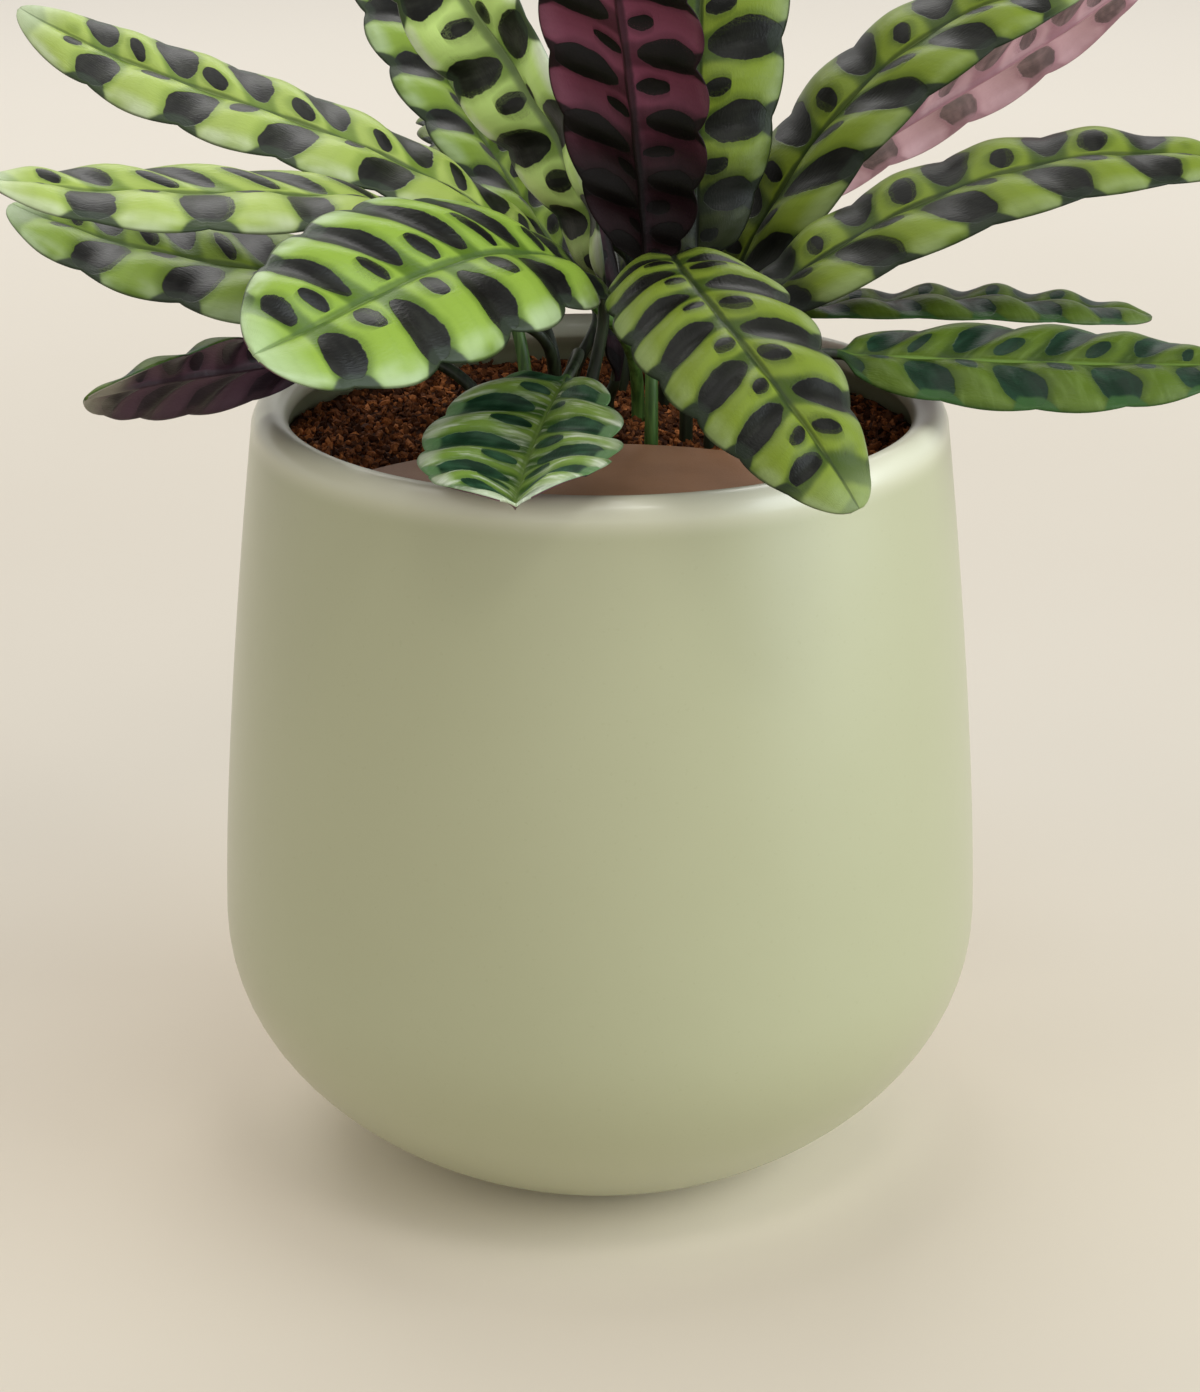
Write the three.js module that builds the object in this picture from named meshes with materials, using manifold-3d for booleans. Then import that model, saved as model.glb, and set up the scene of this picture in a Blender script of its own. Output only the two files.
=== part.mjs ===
// Potted rattlesnake plant: a turned ceramic pot, its filling of coir soil,
// a half-moon plate on the soil, and the leaves that stand in the soil.
// Millimetres, Z up, origin at the centre of the pot's flat foot.
import * as THREE from 'three';
import { mergeVertices } from 'three/addons/utils/BufferGeometryUtils.js';
import Module from 'manifold-3d';

const wasm = await Module();
wasm.setup();

// Pot, a turned shape about Z
const POT_HEIGHT = 205.8;
const FOOT_RADIUS = 41;
const BELLY_RADIUS = 100;
const BELLY_HEIGHT = 68;
const RIM_RADIUS = 88.1;
const SHOULDER_POWER = 1.41;
const BASE_POWER_OUT = 2 / 1.27;
const BASE_POWER_UP = 2 / 2.12;
const BASE_POWER_IN = 2.2;
const LIP_THICKNESS = 8.4;
const NECK_RADIUS = 83.4;
const NECK_HEIGHT = 197.6;
const WALL_TOP = 190;
const WALL = 6;
const FLOOR = 8;
const POT_SIDES = 48;

// Soil and the plate that lies on it
const GAP = 0.3;
const SOIL_TOP = 194;
const PLATE_THICKNESS = 2.6;
const PLATE_RADIUS = 82.6;
const PLATE_MIDDLE = 47;
const PLATE_CORNER = 4;
const PLATE_EDGE = 0.6;

// Leaves, all built by the same rule. The blade has even waves along each half, which
// follow its slanting side veins, and each half is arched between midrib and margin.
const STALK_RADIUS = 1.75;
const STALK_TOP_RADIUS = 1.35;
const STALK_DEPTH = 16;
const STALK_UPRIGHT = 0.45;
const STALK_LEAD = 0.35;
const HOLE_SIDES = 8;
const BLADE_THICKNESS = 0.85;
const EDGE_THICKNESS = 0.65;
const TIP_HALF_WIDTH = 0.5;
const BASE_ROUND = 0.5;
const WAVE_HEIGHT = 1.5;
const WAVE_ENDS = 0.12;
const FULL_WAVE_WIDTH = 15;
const ARCH = 0.06;
const SCALLOP = 0.035;
const ACROSS = [-1, -0.5, 0, 0.5, 1];
const STALK_STEPS = 5;
const BLADE_STEPS = 24;

// Where each stalk leaves the soil (root), where it meets its blade (joint), and how the
// blade runs from there. Heading is counted about Z from +X, rise and fall are the slopes
// at the joint and the tip, sweep turns the heading, roll and twist lean the blade sideways.
// All angles are in degrees. A smaller tip is blunter. Left and right give the waves of
// each half: their count along the whole blade, the part of a wave passed at the joint, and
// how far they slant to the tip.
const LEAVES = [
  { name: 'left_high', root: [10, 21], joint: [-6, 0, 234.5], heading: 171, rise: 45, fall: 24,
    sag: 19, sweep: -16, roll: 0, twist: -27, length: 165, width: 36, tip: 0.55, fold: 0,
    left: [6, 0.62, 0.1], right: [7.2, 0.49, 0.9] },
  { name: 'left_mid', root: [-18, -2], joint: [-38.5, -4.8, 250.8], heading: 217, rise: 26, fall: 14,
    sag: 14, sweep: -23, roll: -2, twist: -9, length: 119, width: 46, tip: 0.6, fold: 0,
    left: [4.6, 0.83, 0.1], right: [4.3, 0.32, 1.1] },
  { name: 'left_low', root: [-12, 14], joint: [-20, 6, 223], heading: 168, rise: 15, fall: 19,
    sag: 13, sweep: -10, roll: -31, twist: 27, length: 144, width: 42, tip: 0.48, fold: 0,
    left: [5, 0.68, 0.2], right: [6.3, 0.55, 0.9] },
  { name: 'front_left', root: [-4, -6], joint: [-1.5, -10.1, 237.2], heading: 236, rise: 35.5, fall: -2.4,
    sag: 17.4, sweep: 2, roll: -21, twist: -23, length: 138, width: 50, tip: 0.5, fold: 2,
    left: [5.2, 0.1, 0.1], right: [6.3, 0.04, 0.8] },
  { name: 'front_right', root: [22, 0], joint: [19, -12.5, 244.1], heading: -98, rise: 19.7, fall: -51,
    sag: 0, sweep: 61, roll: 5.5, twist: 7.5, length: 126, width: 43, tip: 0.47, fold: -9.6,
    left: [5.7, 0.31, 0.5], right: [8.5, 0.03, 0.4] },
  { name: 'front_small', root: [-9, 4], joint: [-8, -38.5, 221.4], heading: -114.5, rise: -24, fall: 24,
    sag: 14.5, sweep: 30, roll: -2.4, twist: 6.2, length: 71, width: 50, tip: 0.46, fold: 23.6,
    left: [4.5, 0.2, 0.5], right: [4.5, 0.7, 0.6] },
  { name: 'right_lower', root: [28, -6], joint: [59, -15, 221], heading: -3, rise: -3, fall: -1,
    sag: 0, sweep: 8, roll: 20, twist: 1, length: 99, width: 36, tip: 0.55, fold: 0,
    left: [4.3, 0.3, 1], right: [4.3, 0.73, 0.4] },
  { name: 'right_thin', root: [34, 6], joint: [46, 18, 223], heading: 10, rise: 5, fall: -11,
    sag: 0, sweep: -1, roll: -5, twist: 7, length: 101, width: 30, tip: 0.48, fold: 0,
    left: [5.4, 0, 0.5], right: [5.4, 0.1, 0.5] },
  { name: 'right_mid', root: [30, 16], joint: [32.5, 1, 223], heading: 13, rise: 39, fall: -13,
    sag: -5, sweep: -11, roll: 12, twist: 2, length: 142, width: 42, tip: 0.55, fold: 0,
    left: [5.6, 0.86, 0.1], right: [5.3, 0.33, 0.6] },
  { name: 'right_high', root: [24, 34], joint: [28, 42, 207], heading: 20, rise: 68, fall: 2,
    sag: -12, sweep: -21, roll: 5, twist: 21, length: 147, width: 45, tip: 0.55, fold: 0,
    left: [6.3, 0.9, 0.1], right: [5.4, 0.85, 0.9] },
  { name: 'centre_right', root: [17, 34], joint: [25, 24, 232], heading: 90, rise: 76, fall: 30,
    sag: 0, sweep: -8, roll: 3, twist: 2, length: 176, width: 46, tip: 0.6, fold: 0,
    left: [7.9, 0.3, 0.2], right: [7.9, 0.94, 0.2] },
  { name: 'centre_purple', root: [13, -8], joint: [12, -6, 240], heading: -113, rise: 80, fall: 58,
    sag: 0, sweep: 0, roll: 1, twist: 1, length: 138, width: 40, tip: 0.6, fold: 0,
    left: [7.7, 0.26, -0.1], right: [7.9, 0.74, 0.5] },
  { name: 'centre_left', root: [2, 28], joint: [4, 26, 203], heading: 164, rise: 98, fall: 70,
    sag: 31, sweep: 0, roll: -171, twist: 119, length: 180, width: 38, tip: 0.6, fold: 24,
    left: [7.4, 0.8, 0.2], right: [7.5, 0.72, 0.2] },
  { name: 'behind_left', root: [-8, 40], joint: [-2, 44, 219.5], heading: 141, rise: 41, fall: 41,
    sag: 0, sweep: -30, roll: 24, twist: -24, length: 141, width: 41, tip: 0.6, fold: 6,
    left: [7, 0.65, 0.2], right: [7, 0, 0.8] },
  { name: 'pink_back', root: [33, 54], joint: [29.6, 74, 222], heading: 22, rise: 38, fall: 35,
    sag: 11, sweep: -5, roll: -37, twist: -20, length: 156, width: 37, tip: 0.6, fold: 0,
    left: [6, 0.25, 0.2], right: [6, 0.9, 0.8] },
  { name: 'purple_low', root: [-28, 0], joint: [-67.6, -6, 220], heading: 230, rise: 1, fall: 1,
    sag: -5, sweep: 5, roll: 51, twist: -11, length: 85, width: 34, tip: 0.6, fold: 0,
    left: [4.5, 0.5, 0.3], right: [4.5, 0.15, 0.8] },
  { name: 'back_high', root: [6, 48], joint: [8, 56, 226], heading: 92, rise: 72, fall: 38,
    sag: 0, sweep: -5, roll: 0, twist: 0, length: 170, width: 42, tip: 0.6, fold: 10,
    left: [7, 0.5, 0.2], right: [7, 0.85, 0.8] },
  { name: 'back_left', root: [-12, 54], joint: [-20, 66, 222], heading: 100, rise: 42, fall: -20,
    sag: 0, sweep: 6, roll: 0, twist: -8, length: 115, width: 40, tip: 0.6, fold: 10,
    left: [6, 0.75, 0.2], right: [6, 0.1, 0.8] },
  { name: 'back_right', root: [16, 56], joint: [18, 68, 224], heading: 82, rise: 48, fall: -18,
    sag: 0, sweep: 0, roll: 0, twist: 8, length: 118, width: 40, tip: 0.6, fold: 10,
    left: [6, 0, 0.2], right: [6, 0.35, 0.8] },
  { name: 'back_low', root: [8, 58], joint: [6, 70, 214], heading: 94, rise: 26, fall: -50,
    sag: 0, sweep: 4, roll: 0, twist: 0, length: 110, width: 42, tip: 0.6, fold: 10,
    left: [6, 0.25, 0.2], right: [6, 0.6, 0.8] },
];

const radians = (degrees) => degrees * Math.PI / 180;

// Mesh from points and triangles, with the shared points kept
function solidGeometry(points, triangles) {
  const geometry = new THREE.BufferGeometry();
  geometry.setAttribute('position', new THREE.Float32BufferAttribute(points.flat(), 3));
  geometry.setIndex(triangles.flat());
  return geometry;
}

// Outer outline of the pot from the foot to the top of the lip's outside
function potOutside() {
  const outline = [];
  const baseSteps = 7;
  for (let i = 0; i <= baseSteps; i += 1) {
    const a = (i / baseSteps) * Math.PI / 2;
    const r = FOOT_RADIUS + (BELLY_RADIUS - FOOT_RADIUS) * Math.sin(a) ** BASE_POWER_OUT;
    const z = BELLY_HEIGHT * (1 - Math.cos(a) ** BASE_POWER_UP);
    outline.push([r, z]);
  }
  const shoulderSteps = 5;
  const shoulderTop = POT_HEIGHT - LIP_THICKNESS / 2;
  for (let i = 1; i <= shoulderSteps; i += 1) {
    const z = BELLY_HEIGHT + (shoulderTop - BELLY_HEIGHT) * i / shoulderSteps;
    outline.push([outerRadius(z), z]);
  }
  return outline;
}

// Radius of the pot's outside above the belly
function outerRadius(z) {
  const t = (z - BELLY_HEIGHT) / (POT_HEIGHT - BELLY_HEIGHT);
  return BELLY_RADIUS - (BELLY_RADIUS - RIM_RADIUS) * Math.max(t, 0) ** SHOULDER_POWER;
}

// Radius of the pot's inside, from the floor to the neck under the lip
function innerRadius(z) {
  if (z >= BELLY_HEIGHT) {
    const t = (z - BELLY_HEIGHT) / (NECK_HEIGHT - BELLY_HEIGHT);
    return BELLY_RADIUS - WALL - (BELLY_RADIUS - WALL - NECK_RADIUS) * t ** SHOULDER_POWER;
  }
  const t = (BELLY_HEIGHT - z) / (BELLY_HEIGHT - FLOOR);
  const floorRadius = FOOT_RADIUS - WALL;
  return floorRadius + (BELLY_RADIUS - WALL - floorRadius) * Math.sqrt(1 - t ** BASE_POWER_IN);
}

// Heights at which the inside wall is bent
function innerHeights() {
  const heights = [];
  const bendSteps = 4;
  for (let i = 0; i <= bendSteps; i += 1) {
    heights.push(FLOOR + (BELLY_HEIGHT - FLOOR) * (1 - Math.cos((i / bendSteps) * Math.PI / 2)));
  }
  const wallSteps = 3;
  for (let i = 1; i <= wallSteps; i += 1) {
    heights.push(BELLY_HEIGHT + (WALL_TOP - BELLY_HEIGHT) * i / wallSteps);
  }
  return heights;
}

function turned(outline, sides) {
  const profile = outline.map(([r, z]) => new THREE.Vector2(r, z));
  const geometry = new THREE.LatheGeometry(profile, sides);
  geometry.rotateX(Math.PI / 2);
  geometry.deleteAttribute('normal');
  geometry.deleteAttribute('uv');
  return mergeVertices(geometry, 1e-3);
}

function potGeometry() {
  const outline = [[0, 0], ...potOutside()];
  const lipRadius = LIP_THICKNESS / 2;
  const lipHeight = POT_HEIGHT - lipRadius;
  const lipCentre = outerRadius(lipHeight) - lipRadius;
  const lipSteps = 6;
  for (let i = 1; i <= lipSteps + 1; i += 1) {
    const a = (i / lipSteps) * Math.PI;
    outline.push([lipCentre + lipRadius * Math.cos(a), lipHeight + lipRadius * Math.sin(a)]);
  }
  outline.push([NECK_RADIUS, NECK_HEIGHT]);
  for (const z of innerHeights().reverse()) {
    outline.push([innerRadius(z), z]);
  }
  outline.push([0, FLOOR]);
  return turned(outline, POT_SIDES);
}

function soilGeometry() {
  const outline = [[0, FLOOR + GAP]];
  for (const z of innerHeights()) {
    outline.push([innerRadius(z) - GAP, z + GAP]);
  }
  outline.push([NECK_RADIUS - GAP, SOIL_TOP]);
  outline.push([0, SOIL_TOP]);
  return turned(outline, POT_SIDES);
}

// Straight prism about a vertical line, with a flat top and bottom
function prismGeometry(outline, bottom, top) {
  const count = outline.length;
  const points = [];
  for (const level of [bottom, top]) {
    for (const [x, y] of outline) {
      points.push([x, y, level]);
    }
  }
  const triangles = [];
  for (let i = 0; i < count; i += 1) {
    const next = (i + 1) % count;
    triangles.push([i, next, count + next], [i, count + next, count + i]);
  }
  for (let i = 1; i < count - 1; i += 1) {
    triangles.push([0, i + 1, i], [count, count + i, count + i + 1]);
  }
  return solidGeometry(points, triangles);
}

function toManifold(geometry) {
  const merged = mergeVertices(geometry, 1e-3);
  return new wasm.Manifold(new wasm.Mesh({
    numProp: 3,
    vertProperties: new Float32Array(merged.attributes.position.array),
    triVerts: new Uint32Array(merged.index.array),
  }));
}

function fromManifold(solid) {
  const mesh = solid.getMesh();
  const geometry = new THREE.BufferGeometry();
  geometry.setAttribute('position', new THREE.Float32BufferAttribute(mesh.vertProperties, 3));
  geometry.setIndex([...mesh.triVerts]);
  return geometry;
}

// Soil with one plain hole for each stalk
function pottedSoil() {
  let soil = toManifold(soilGeometry());
  const holeRadius = (STALK_RADIUS + GAP) / Math.cos(Math.PI / HOLE_SIDES);
  for (const leaf of LEAVES) {
    const outline = [];
    for (let i = 0; i < HOLE_SIDES; i += 1) {
      const a = (i + 0.5) / HOLE_SIDES * Math.PI * 2;
      outline.push([leaf.root[0] + holeRadius * Math.cos(a), leaf.root[1] + holeRadius * Math.sin(a)]);
    }
    const hole = prismGeometry(outline, SOIL_TOP - STALK_DEPTH - GAP, SOIL_TOP + 1);
    soil = soil.subtract(toManifold(hole));
  }
  return fromManifold(soil);
}

// Half-moon plate: two equal arcs, the front one along the pot's wall, with rounded ends
function plateOutline(inset) {
  const arcRadius = PLATE_RADIUS - inset;
  const cornerRadius = PLATE_CORNER - inset;
  const cornerAngle = Math.asin(PLATE_MIDDLE / (PLATE_RADIUS - PLATE_CORNER));
  const cornerX = (PLATE_RADIUS - PLATE_CORNER) * Math.cos(cornerAngle);
  const front = { x: 0, y: 0 };
  const back = { x: 0, y: -2 * PLATE_MIDDLE };
  const right = { x: cornerX, y: -PLATE_MIDDLE };
  const left = { x: -cornerX, y: -PLATE_MIDDLE };
  const arcs = [
    { ...front, radius: arcRadius, from: cornerAngle - Math.PI, to: -cornerAngle, steps: 16 },
    { ...right, radius: cornerRadius, from: -cornerAngle, to: cornerAngle, steps: 4 },
    { ...back, radius: arcRadius, from: cornerAngle, to: Math.PI - cornerAngle, steps: 16 },
    { ...left, radius: cornerRadius, from: Math.PI - cornerAngle, to: Math.PI + cornerAngle, steps: 4 },
  ];
  const outline = [];
  for (const arc of arcs) {
    for (let i = 0; i < arc.steps; i += 1) {
      const a = arc.from + (arc.to - arc.from) * i / arc.steps;
      outline.push([arc.x + arc.radius * Math.cos(a), arc.y + arc.radius * Math.sin(a)]);
    }
  }
  return outline;
}

function plateGeometry() {
  const bottom = SOIL_TOP + GAP;
  const top = bottom + PLATE_THICKNESS;
  const rings = [
    plateOutline(PLATE_EDGE).map(([x, y]) => [x, y, bottom]),
    plateOutline(0).map(([x, y]) => [x, y, bottom + PLATE_EDGE]),
    plateOutline(0).map(([x, y]) => [x, y, top - PLATE_EDGE]),
    plateOutline(PLATE_EDGE).map(([x, y]) => [x, y, top]),
  ];
  const middle = [0, -PLATE_MIDDLE];
  return loft(rings, [...middle, bottom], [...middle, top]);
}

// Closed mesh through rings of equal count, each end closed round its own middle point.
// The second half of each ring is split the other way, so that the two faces of a thin
// blade are made of the same triangles.
function loft(rings, firstMiddle, lastMiddle) {
  const count = rings[0].length;
  const points = rings.flat();
  const triangles = [];
  for (let i = 0; i + 1 < rings.length; i += 1) {
    for (let k = 0; k < count; k += 1) {
      const a = i * count + k;
      const b = i * count + (k + 1) % count;
      const c = a + count;
      const d = b + count;
      if (k < count / 2 - 1) {
        triangles.push([a, d, c], [a, b, d]);
      } else {
        triangles.push([a, b, c], [b, d, c]);
      }
    }
  }
  const first = points.push(firstMiddle) - 1;
  const last = points.push(lastMiddle) - 1;
  const start = (rings.length - 1) * count;
  for (let k = 0; k < count; k += 1) {
    const next = (k + 1) % count;
    triangles.push([first, next, k], [last, start + k, start + next]);
  }
  return outward(solidGeometry(points, triangles));
}

// Turns the faces round when the mesh encloses a negative volume
function outward(geometry) {
  const position = geometry.attributes.position;
  const index = [...geometry.index.array];
  const [a, b, c] = [new THREE.Vector3(), new THREE.Vector3(), new THREE.Vector3()];
  let volume = 0;
  for (let i = 0; i < index.length; i += 3) {
    a.fromBufferAttribute(position, index[i]);
    b.fromBufferAttribute(position, index[i + 1]);
    c.fromBufferAttribute(position, index[i + 2]);
    volume += a.dot(b.cross(c));
  }
  if (volume < 0) {
    for (let i = 0; i < index.length; i += 3) {
      [index[i + 1], index[i + 2]] = [index[i + 2], index[i + 1]];
    }
    geometry.setIndex(index);
  }
  return geometry;
}

// Half the width of a blade at the part t of its length, as a share of its greatest half width
function bladeShape(leaf, t) {
  const widest = BASE_ROUND / (BASE_ROUND + leaf.tip);
  const top = widest ** BASE_ROUND * (1 - widest) ** leaf.tip;
  return t ** BASE_ROUND * (1 - t) ** leaf.tip / top;
}

// Direction along the midrib, sideways and up at the part t of a blade's length
function bladeFrame(leaf, t) {
  const heading = radians(leaf.heading + leaf.sweep * t);
  const slope = radians(leaf.rise + (leaf.fall - leaf.rise) * t - leaf.sag * Math.sin(Math.PI * t));
  const roll = radians(leaf.roll + leaf.twist * t);
  const along = new THREE.Vector3(
    Math.cos(slope) * Math.cos(heading),
    Math.cos(slope) * Math.sin(heading),
    Math.sin(slope),
  );
  const level = new THREE.Vector3(-Math.sin(heading), Math.cos(heading), 0);
  const above = along.clone().cross(level);
  const side = level.clone().multiplyScalar(Math.cos(roll)).addScaledVector(above, Math.sin(roll));
  const up = above.multiplyScalar(Math.cos(roll)).addScaledVector(level, -Math.sin(roll));
  return { along, side, up };
}

// Stations of the blade: close together at the rounded base and at the tip
function bladeStations() {
  const stations = [0.012, 0.035];
  for (let i = 2; i < BLADE_STEPS; i += 1) {
    stations.push(i / BLADE_STEPS);
  }
  stations.push(0.985, 0.997);
  return stations;
}

// Count of waves passed at the part t of the length and u across, from -1 to 1
function waveTurn(leaf, t, u, halfWidth) {
  const [waves, start, slant] = u > 0 ? leaf.left : leaf.right;
  return waves * (t - slant * Math.abs(u) * halfWidth / leaf.length) + start;
}

// Half width at the part t, a little more where a wave is high at the margin
function scalloped(leaf, t, u) {
  const plain = Math.max(leaf.width / 2 * bladeShape(leaf, t), TIP_HALF_WIDTH);
  const turn = waveTurn(leaf, t, Math.sign(u), plain);
  return plain * (1 + SCALLOP * Math.abs(u) * Math.cos(2 * Math.PI * turn));
}

// Height of a blade's middle face over its plain folded shape
function bladeHeight(leaf, t, u, halfWidth) {
  const out = Math.abs(u);
  const calm = Math.min(1, t / WAVE_ENDS, (1 - t) / WAVE_ENDS, halfWidth / FULL_WAVE_WIDTH);
  const wave = WAVE_HEIGHT * calm * out * out * Math.cos(2 * Math.PI * waveTurn(leaf, t, u, halfWidth));
  return wave + ARCH * halfWidth * Math.sin(Math.PI * out);
}

function bladeRing(leaf, t, middle) {
  const { side, up } = bladeFrame(leaf, t);
  const fold = radians(leaf.fold);
  const ring = [];
  for (const face of [1, -1]) {
    for (const u of face > 0 ? ACROSS : [...ACROSS].reverse()) {
      const halfWidth = scalloped(leaf, t, u);
      const thickness = BLADE_THICKNESS + (EDGE_THICKNESS - BLADE_THICKNESS) * Math.abs(u);
      const height = bladeHeight(leaf, t, u, halfWidth) + face * thickness / 2;
      ring.push(middle.clone()
        .addScaledVector(side, u * halfWidth * Math.cos(fold))
        .addScaledVector(up, Math.abs(u) * halfWidth * Math.sin(fold) + height)
        .toArray());
    }
  }
  return ring;
}

// Round of the stalk, its points in the same order as those of a blade ring
function stalkRing(middle, side, up, radius) {
  const count = 2 * ACROSS.length;
  const ring = [];
  for (let k = 0; k < count; k += 1) {
    const a = Math.PI - (k + 0.5) / count * 2 * Math.PI;
    ring.push(middle.clone()
      .addScaledVector(side, radius * Math.cos(a))
      .addScaledVector(up, radius * Math.sin(a))
      .toArray());
  }
  return ring;
}

// Curve of a stalk from the soil to the blade, leaving the soil straight up
function stalkCurve(leaf, along) {
  const root = new THREE.Vector3(leaf.root[0], leaf.root[1], SOIL_TOP + 1);
  const joint = new THREE.Vector3(...leaf.joint);
  const reach = root.distanceTo(joint);
  return new THREE.CubicBezierCurve3(
    root,
    root.clone().setZ(root.z + STALK_UPRIGHT * reach),
    joint.clone().addScaledVector(along, -STALK_LEAD * reach),
    joint,
  );
}

function stalkRings(leaf) {
  const start = bladeFrame(leaf, 0);
  const curve = stalkCurve(leaf, start.along);
  const rings = [];
  let { along, side, up } = start;
  for (let i = 0; i <= STALK_STEPS; i += 1) {
    const share = 1 - i / STALK_STEPS;
    const middle = curve.getPoint(share);
    const direction = curve.getTangent(share);
    const turn = new THREE.Quaternion().setFromUnitVectors(along, direction);
    along = direction;
    side = side.clone().applyQuaternion(turn);
    up = up.clone().applyQuaternion(turn);
    const radius = STALK_RADIUS + (STALK_TOP_RADIUS - STALK_RADIUS) * share;
    rings.push(stalkRing(middle, side, up, radius));
  }
  const foot = new THREE.Vector3(leaf.root[0], leaf.root[1], SOIL_TOP - STALK_DEPTH);
  rings.push(stalkRing(foot, side, up, STALK_RADIUS));
  return { rings: rings.reverse(), foot };
}

function leafGeometry(leaf) {
  const { rings, foot } = stalkRings(leaf);
  const middle = new THREE.Vector3(...leaf.joint);
  let reached = 0;
  for (const t of bladeStations()) {
    const step = bladeFrame(leaf, (t + reached) / 2).along;
    middle.addScaledVector(step, (t - reached) * leaf.length);
    reached = t;
    rings.push(bladeRing(leaf, t, middle));
  }
  return loft(rings, foot.toArray(), middle.toArray());
}

function part(name, geometry, color, roughness) {
  const material = new THREE.MeshStandardMaterial({ color, roughness, metalness: 0, name: `${name}_finish` });
  const mesh = new THREE.Mesh(geometry, material);
  mesh.name = name;
  return mesh;
}

const POT_COLOUR = '#b9bb9d';
const SOIL_COLOUR = '#4d3020';
const PLATE_COLOUR = '#7d5f4b';
const LEAF_COLOUR = '#7f9c4a';

const plant = new THREE.Group();
plant.name = 'potted_rattlesnake_plant';
plant.add(part('pot', potGeometry(), POT_COLOUR, 0.35));
plant.add(part('soil', pottedSoil(), SOIL_COLOUR, 0.95));
plant.add(part('soil_plate', plateGeometry(), PLATE_COLOUR, 0.6));
for (const leaf of LEAVES) {
  plant.add(part(`leaf_${leaf.name}`, leafGeometry(leaf), LEAF_COLOUR, 0.4));
}

export default plant;
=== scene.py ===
# %% [markdown]
# # A potted rattlesnake plant
# The object is a houseplant in a glazed pot: a turned ceramic pot, a filling of coir
# soil, a half-moon plate on the soil, and twenty leaves, each with its own stalk.
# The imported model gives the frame. Every piece made here stands for one of its solids
# and keeps that solid's form, only with finer relief and a real finish.

import math

import bmesh
import bpy
import numpy as np
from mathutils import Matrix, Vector


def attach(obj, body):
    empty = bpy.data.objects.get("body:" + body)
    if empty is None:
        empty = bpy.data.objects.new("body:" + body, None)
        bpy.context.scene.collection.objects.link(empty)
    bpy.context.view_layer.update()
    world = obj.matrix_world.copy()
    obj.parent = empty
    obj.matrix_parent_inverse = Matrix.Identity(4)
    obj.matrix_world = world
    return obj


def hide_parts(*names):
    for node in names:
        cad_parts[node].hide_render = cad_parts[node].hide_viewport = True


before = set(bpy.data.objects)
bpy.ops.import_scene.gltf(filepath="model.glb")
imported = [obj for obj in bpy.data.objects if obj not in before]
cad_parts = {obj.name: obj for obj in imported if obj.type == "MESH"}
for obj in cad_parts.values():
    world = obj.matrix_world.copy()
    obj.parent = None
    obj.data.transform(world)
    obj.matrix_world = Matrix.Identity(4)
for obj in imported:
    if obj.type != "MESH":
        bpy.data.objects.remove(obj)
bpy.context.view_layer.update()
MM = 0.001
print("solids in the frame:", len(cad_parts))

# %% [markdown]
# ## Camera
# The picture looks down on the pot at about 21 degrees through a longish lens, so the
# rim is a flat ellipse and the sides stay almost parallel. The picture is taller than
# wide, so the sensor is fitted to its height.

# %% Camera
CAMERA_PLACE = (0, -0.809, 0.4357)
CAMERA_PITCH = math.radians(68.93)
LENS_MM = 85
SENSOR_MM = 36
camera_data = bpy.data.cameras.new("studio_camera")
camera_data.lens = LENS_MM
camera_data.sensor_fit = "VERTICAL"
camera_data.sensor_width = SENSOR_MM
camera_data.sensor_height = SENSOR_MM
camera_data.dof.use_dof = False
camera = bpy.data.objects.new("studio_camera", camera_data)
camera.location = CAMERA_PLACE
camera.rotation_euler = (CAMERA_PITCH, 0, 0)
bpy.context.scene.collection.objects.link(camera)
bpy.context.scene.camera = camera
print("camera looks down by", round(90 - math.degrees(CAMERA_PITCH), 1), "degrees")

# %% [markdown]
# ## Sums with node sockets
# Most finishes below are patterns that are worked out by formula. A long formula is hard
# to read as a string of Math nodes, so a small class lets Python's own + and * make those
# nodes. Each Signal stands for one output of one node.


# %% Signals
class Signal:
    """A number at each point of a surface, carried by one output of a node."""

    def __init__(self, tree, socket):
        self.tree = tree
        self.socket = socket

    def math(self, operation, *others, clamp=False):
        node = self.tree.nodes.new("ShaderNodeMath")
        node.operation = operation
        node.use_clamp = clamp
        for place, value in enumerate((self, *others)):
            feed(self.tree, node.inputs[place], value)
        return Signal(self.tree, node.outputs[0])

    def __add__(self, other):
        return self.math("ADD", other)

    def __sub__(self, other):
        return self.math("SUBTRACT", other)

    def __mul__(self, other):
        return self.math("MULTIPLY", other)

    def __truediv__(self, other):
        return self.math("DIVIDE", other)

    def __pow__(self, other):
        return self.math("POWER", other)

    def floor(self):
        return self.math("FLOOR")

    def fract(self):
        return self.math("FRACT")

    def size(self):
        return self.math("ABSOLUTE")

    def wave(self, turns=1.0):
        """Goes from -1 to 1 and back once in 1/turns, and is 1 at whole numbers."""
        return (self * (2 * math.pi * turns)).math("COSINE")

    def clamped(self):
        return self.math("ADD", 0.0, clamp=True)

    def larger(self, other):
        return self.math("MAXIMUM", other)

    def ramp(self, low, high):
        """0 at low and 1 at high, with soft ends. low may be the higher number."""
        node = self.tree.nodes.new("ShaderNodeMapRange")
        node.interpolation_type = "SMOOTHSTEP"
        feed(self.tree, node.inputs["Value"], self)
        if low > high:
            low, high, first, last = high, low, 1, 0
        else:
            first, last = 0, 1
        node.inputs["From Min"].default_value = low
        node.inputs["From Max"].default_value = high
        node.inputs["To Min"].default_value = first
        node.inputs["To Max"].default_value = last
        return Signal(self.tree, node.outputs["Result"])


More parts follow.
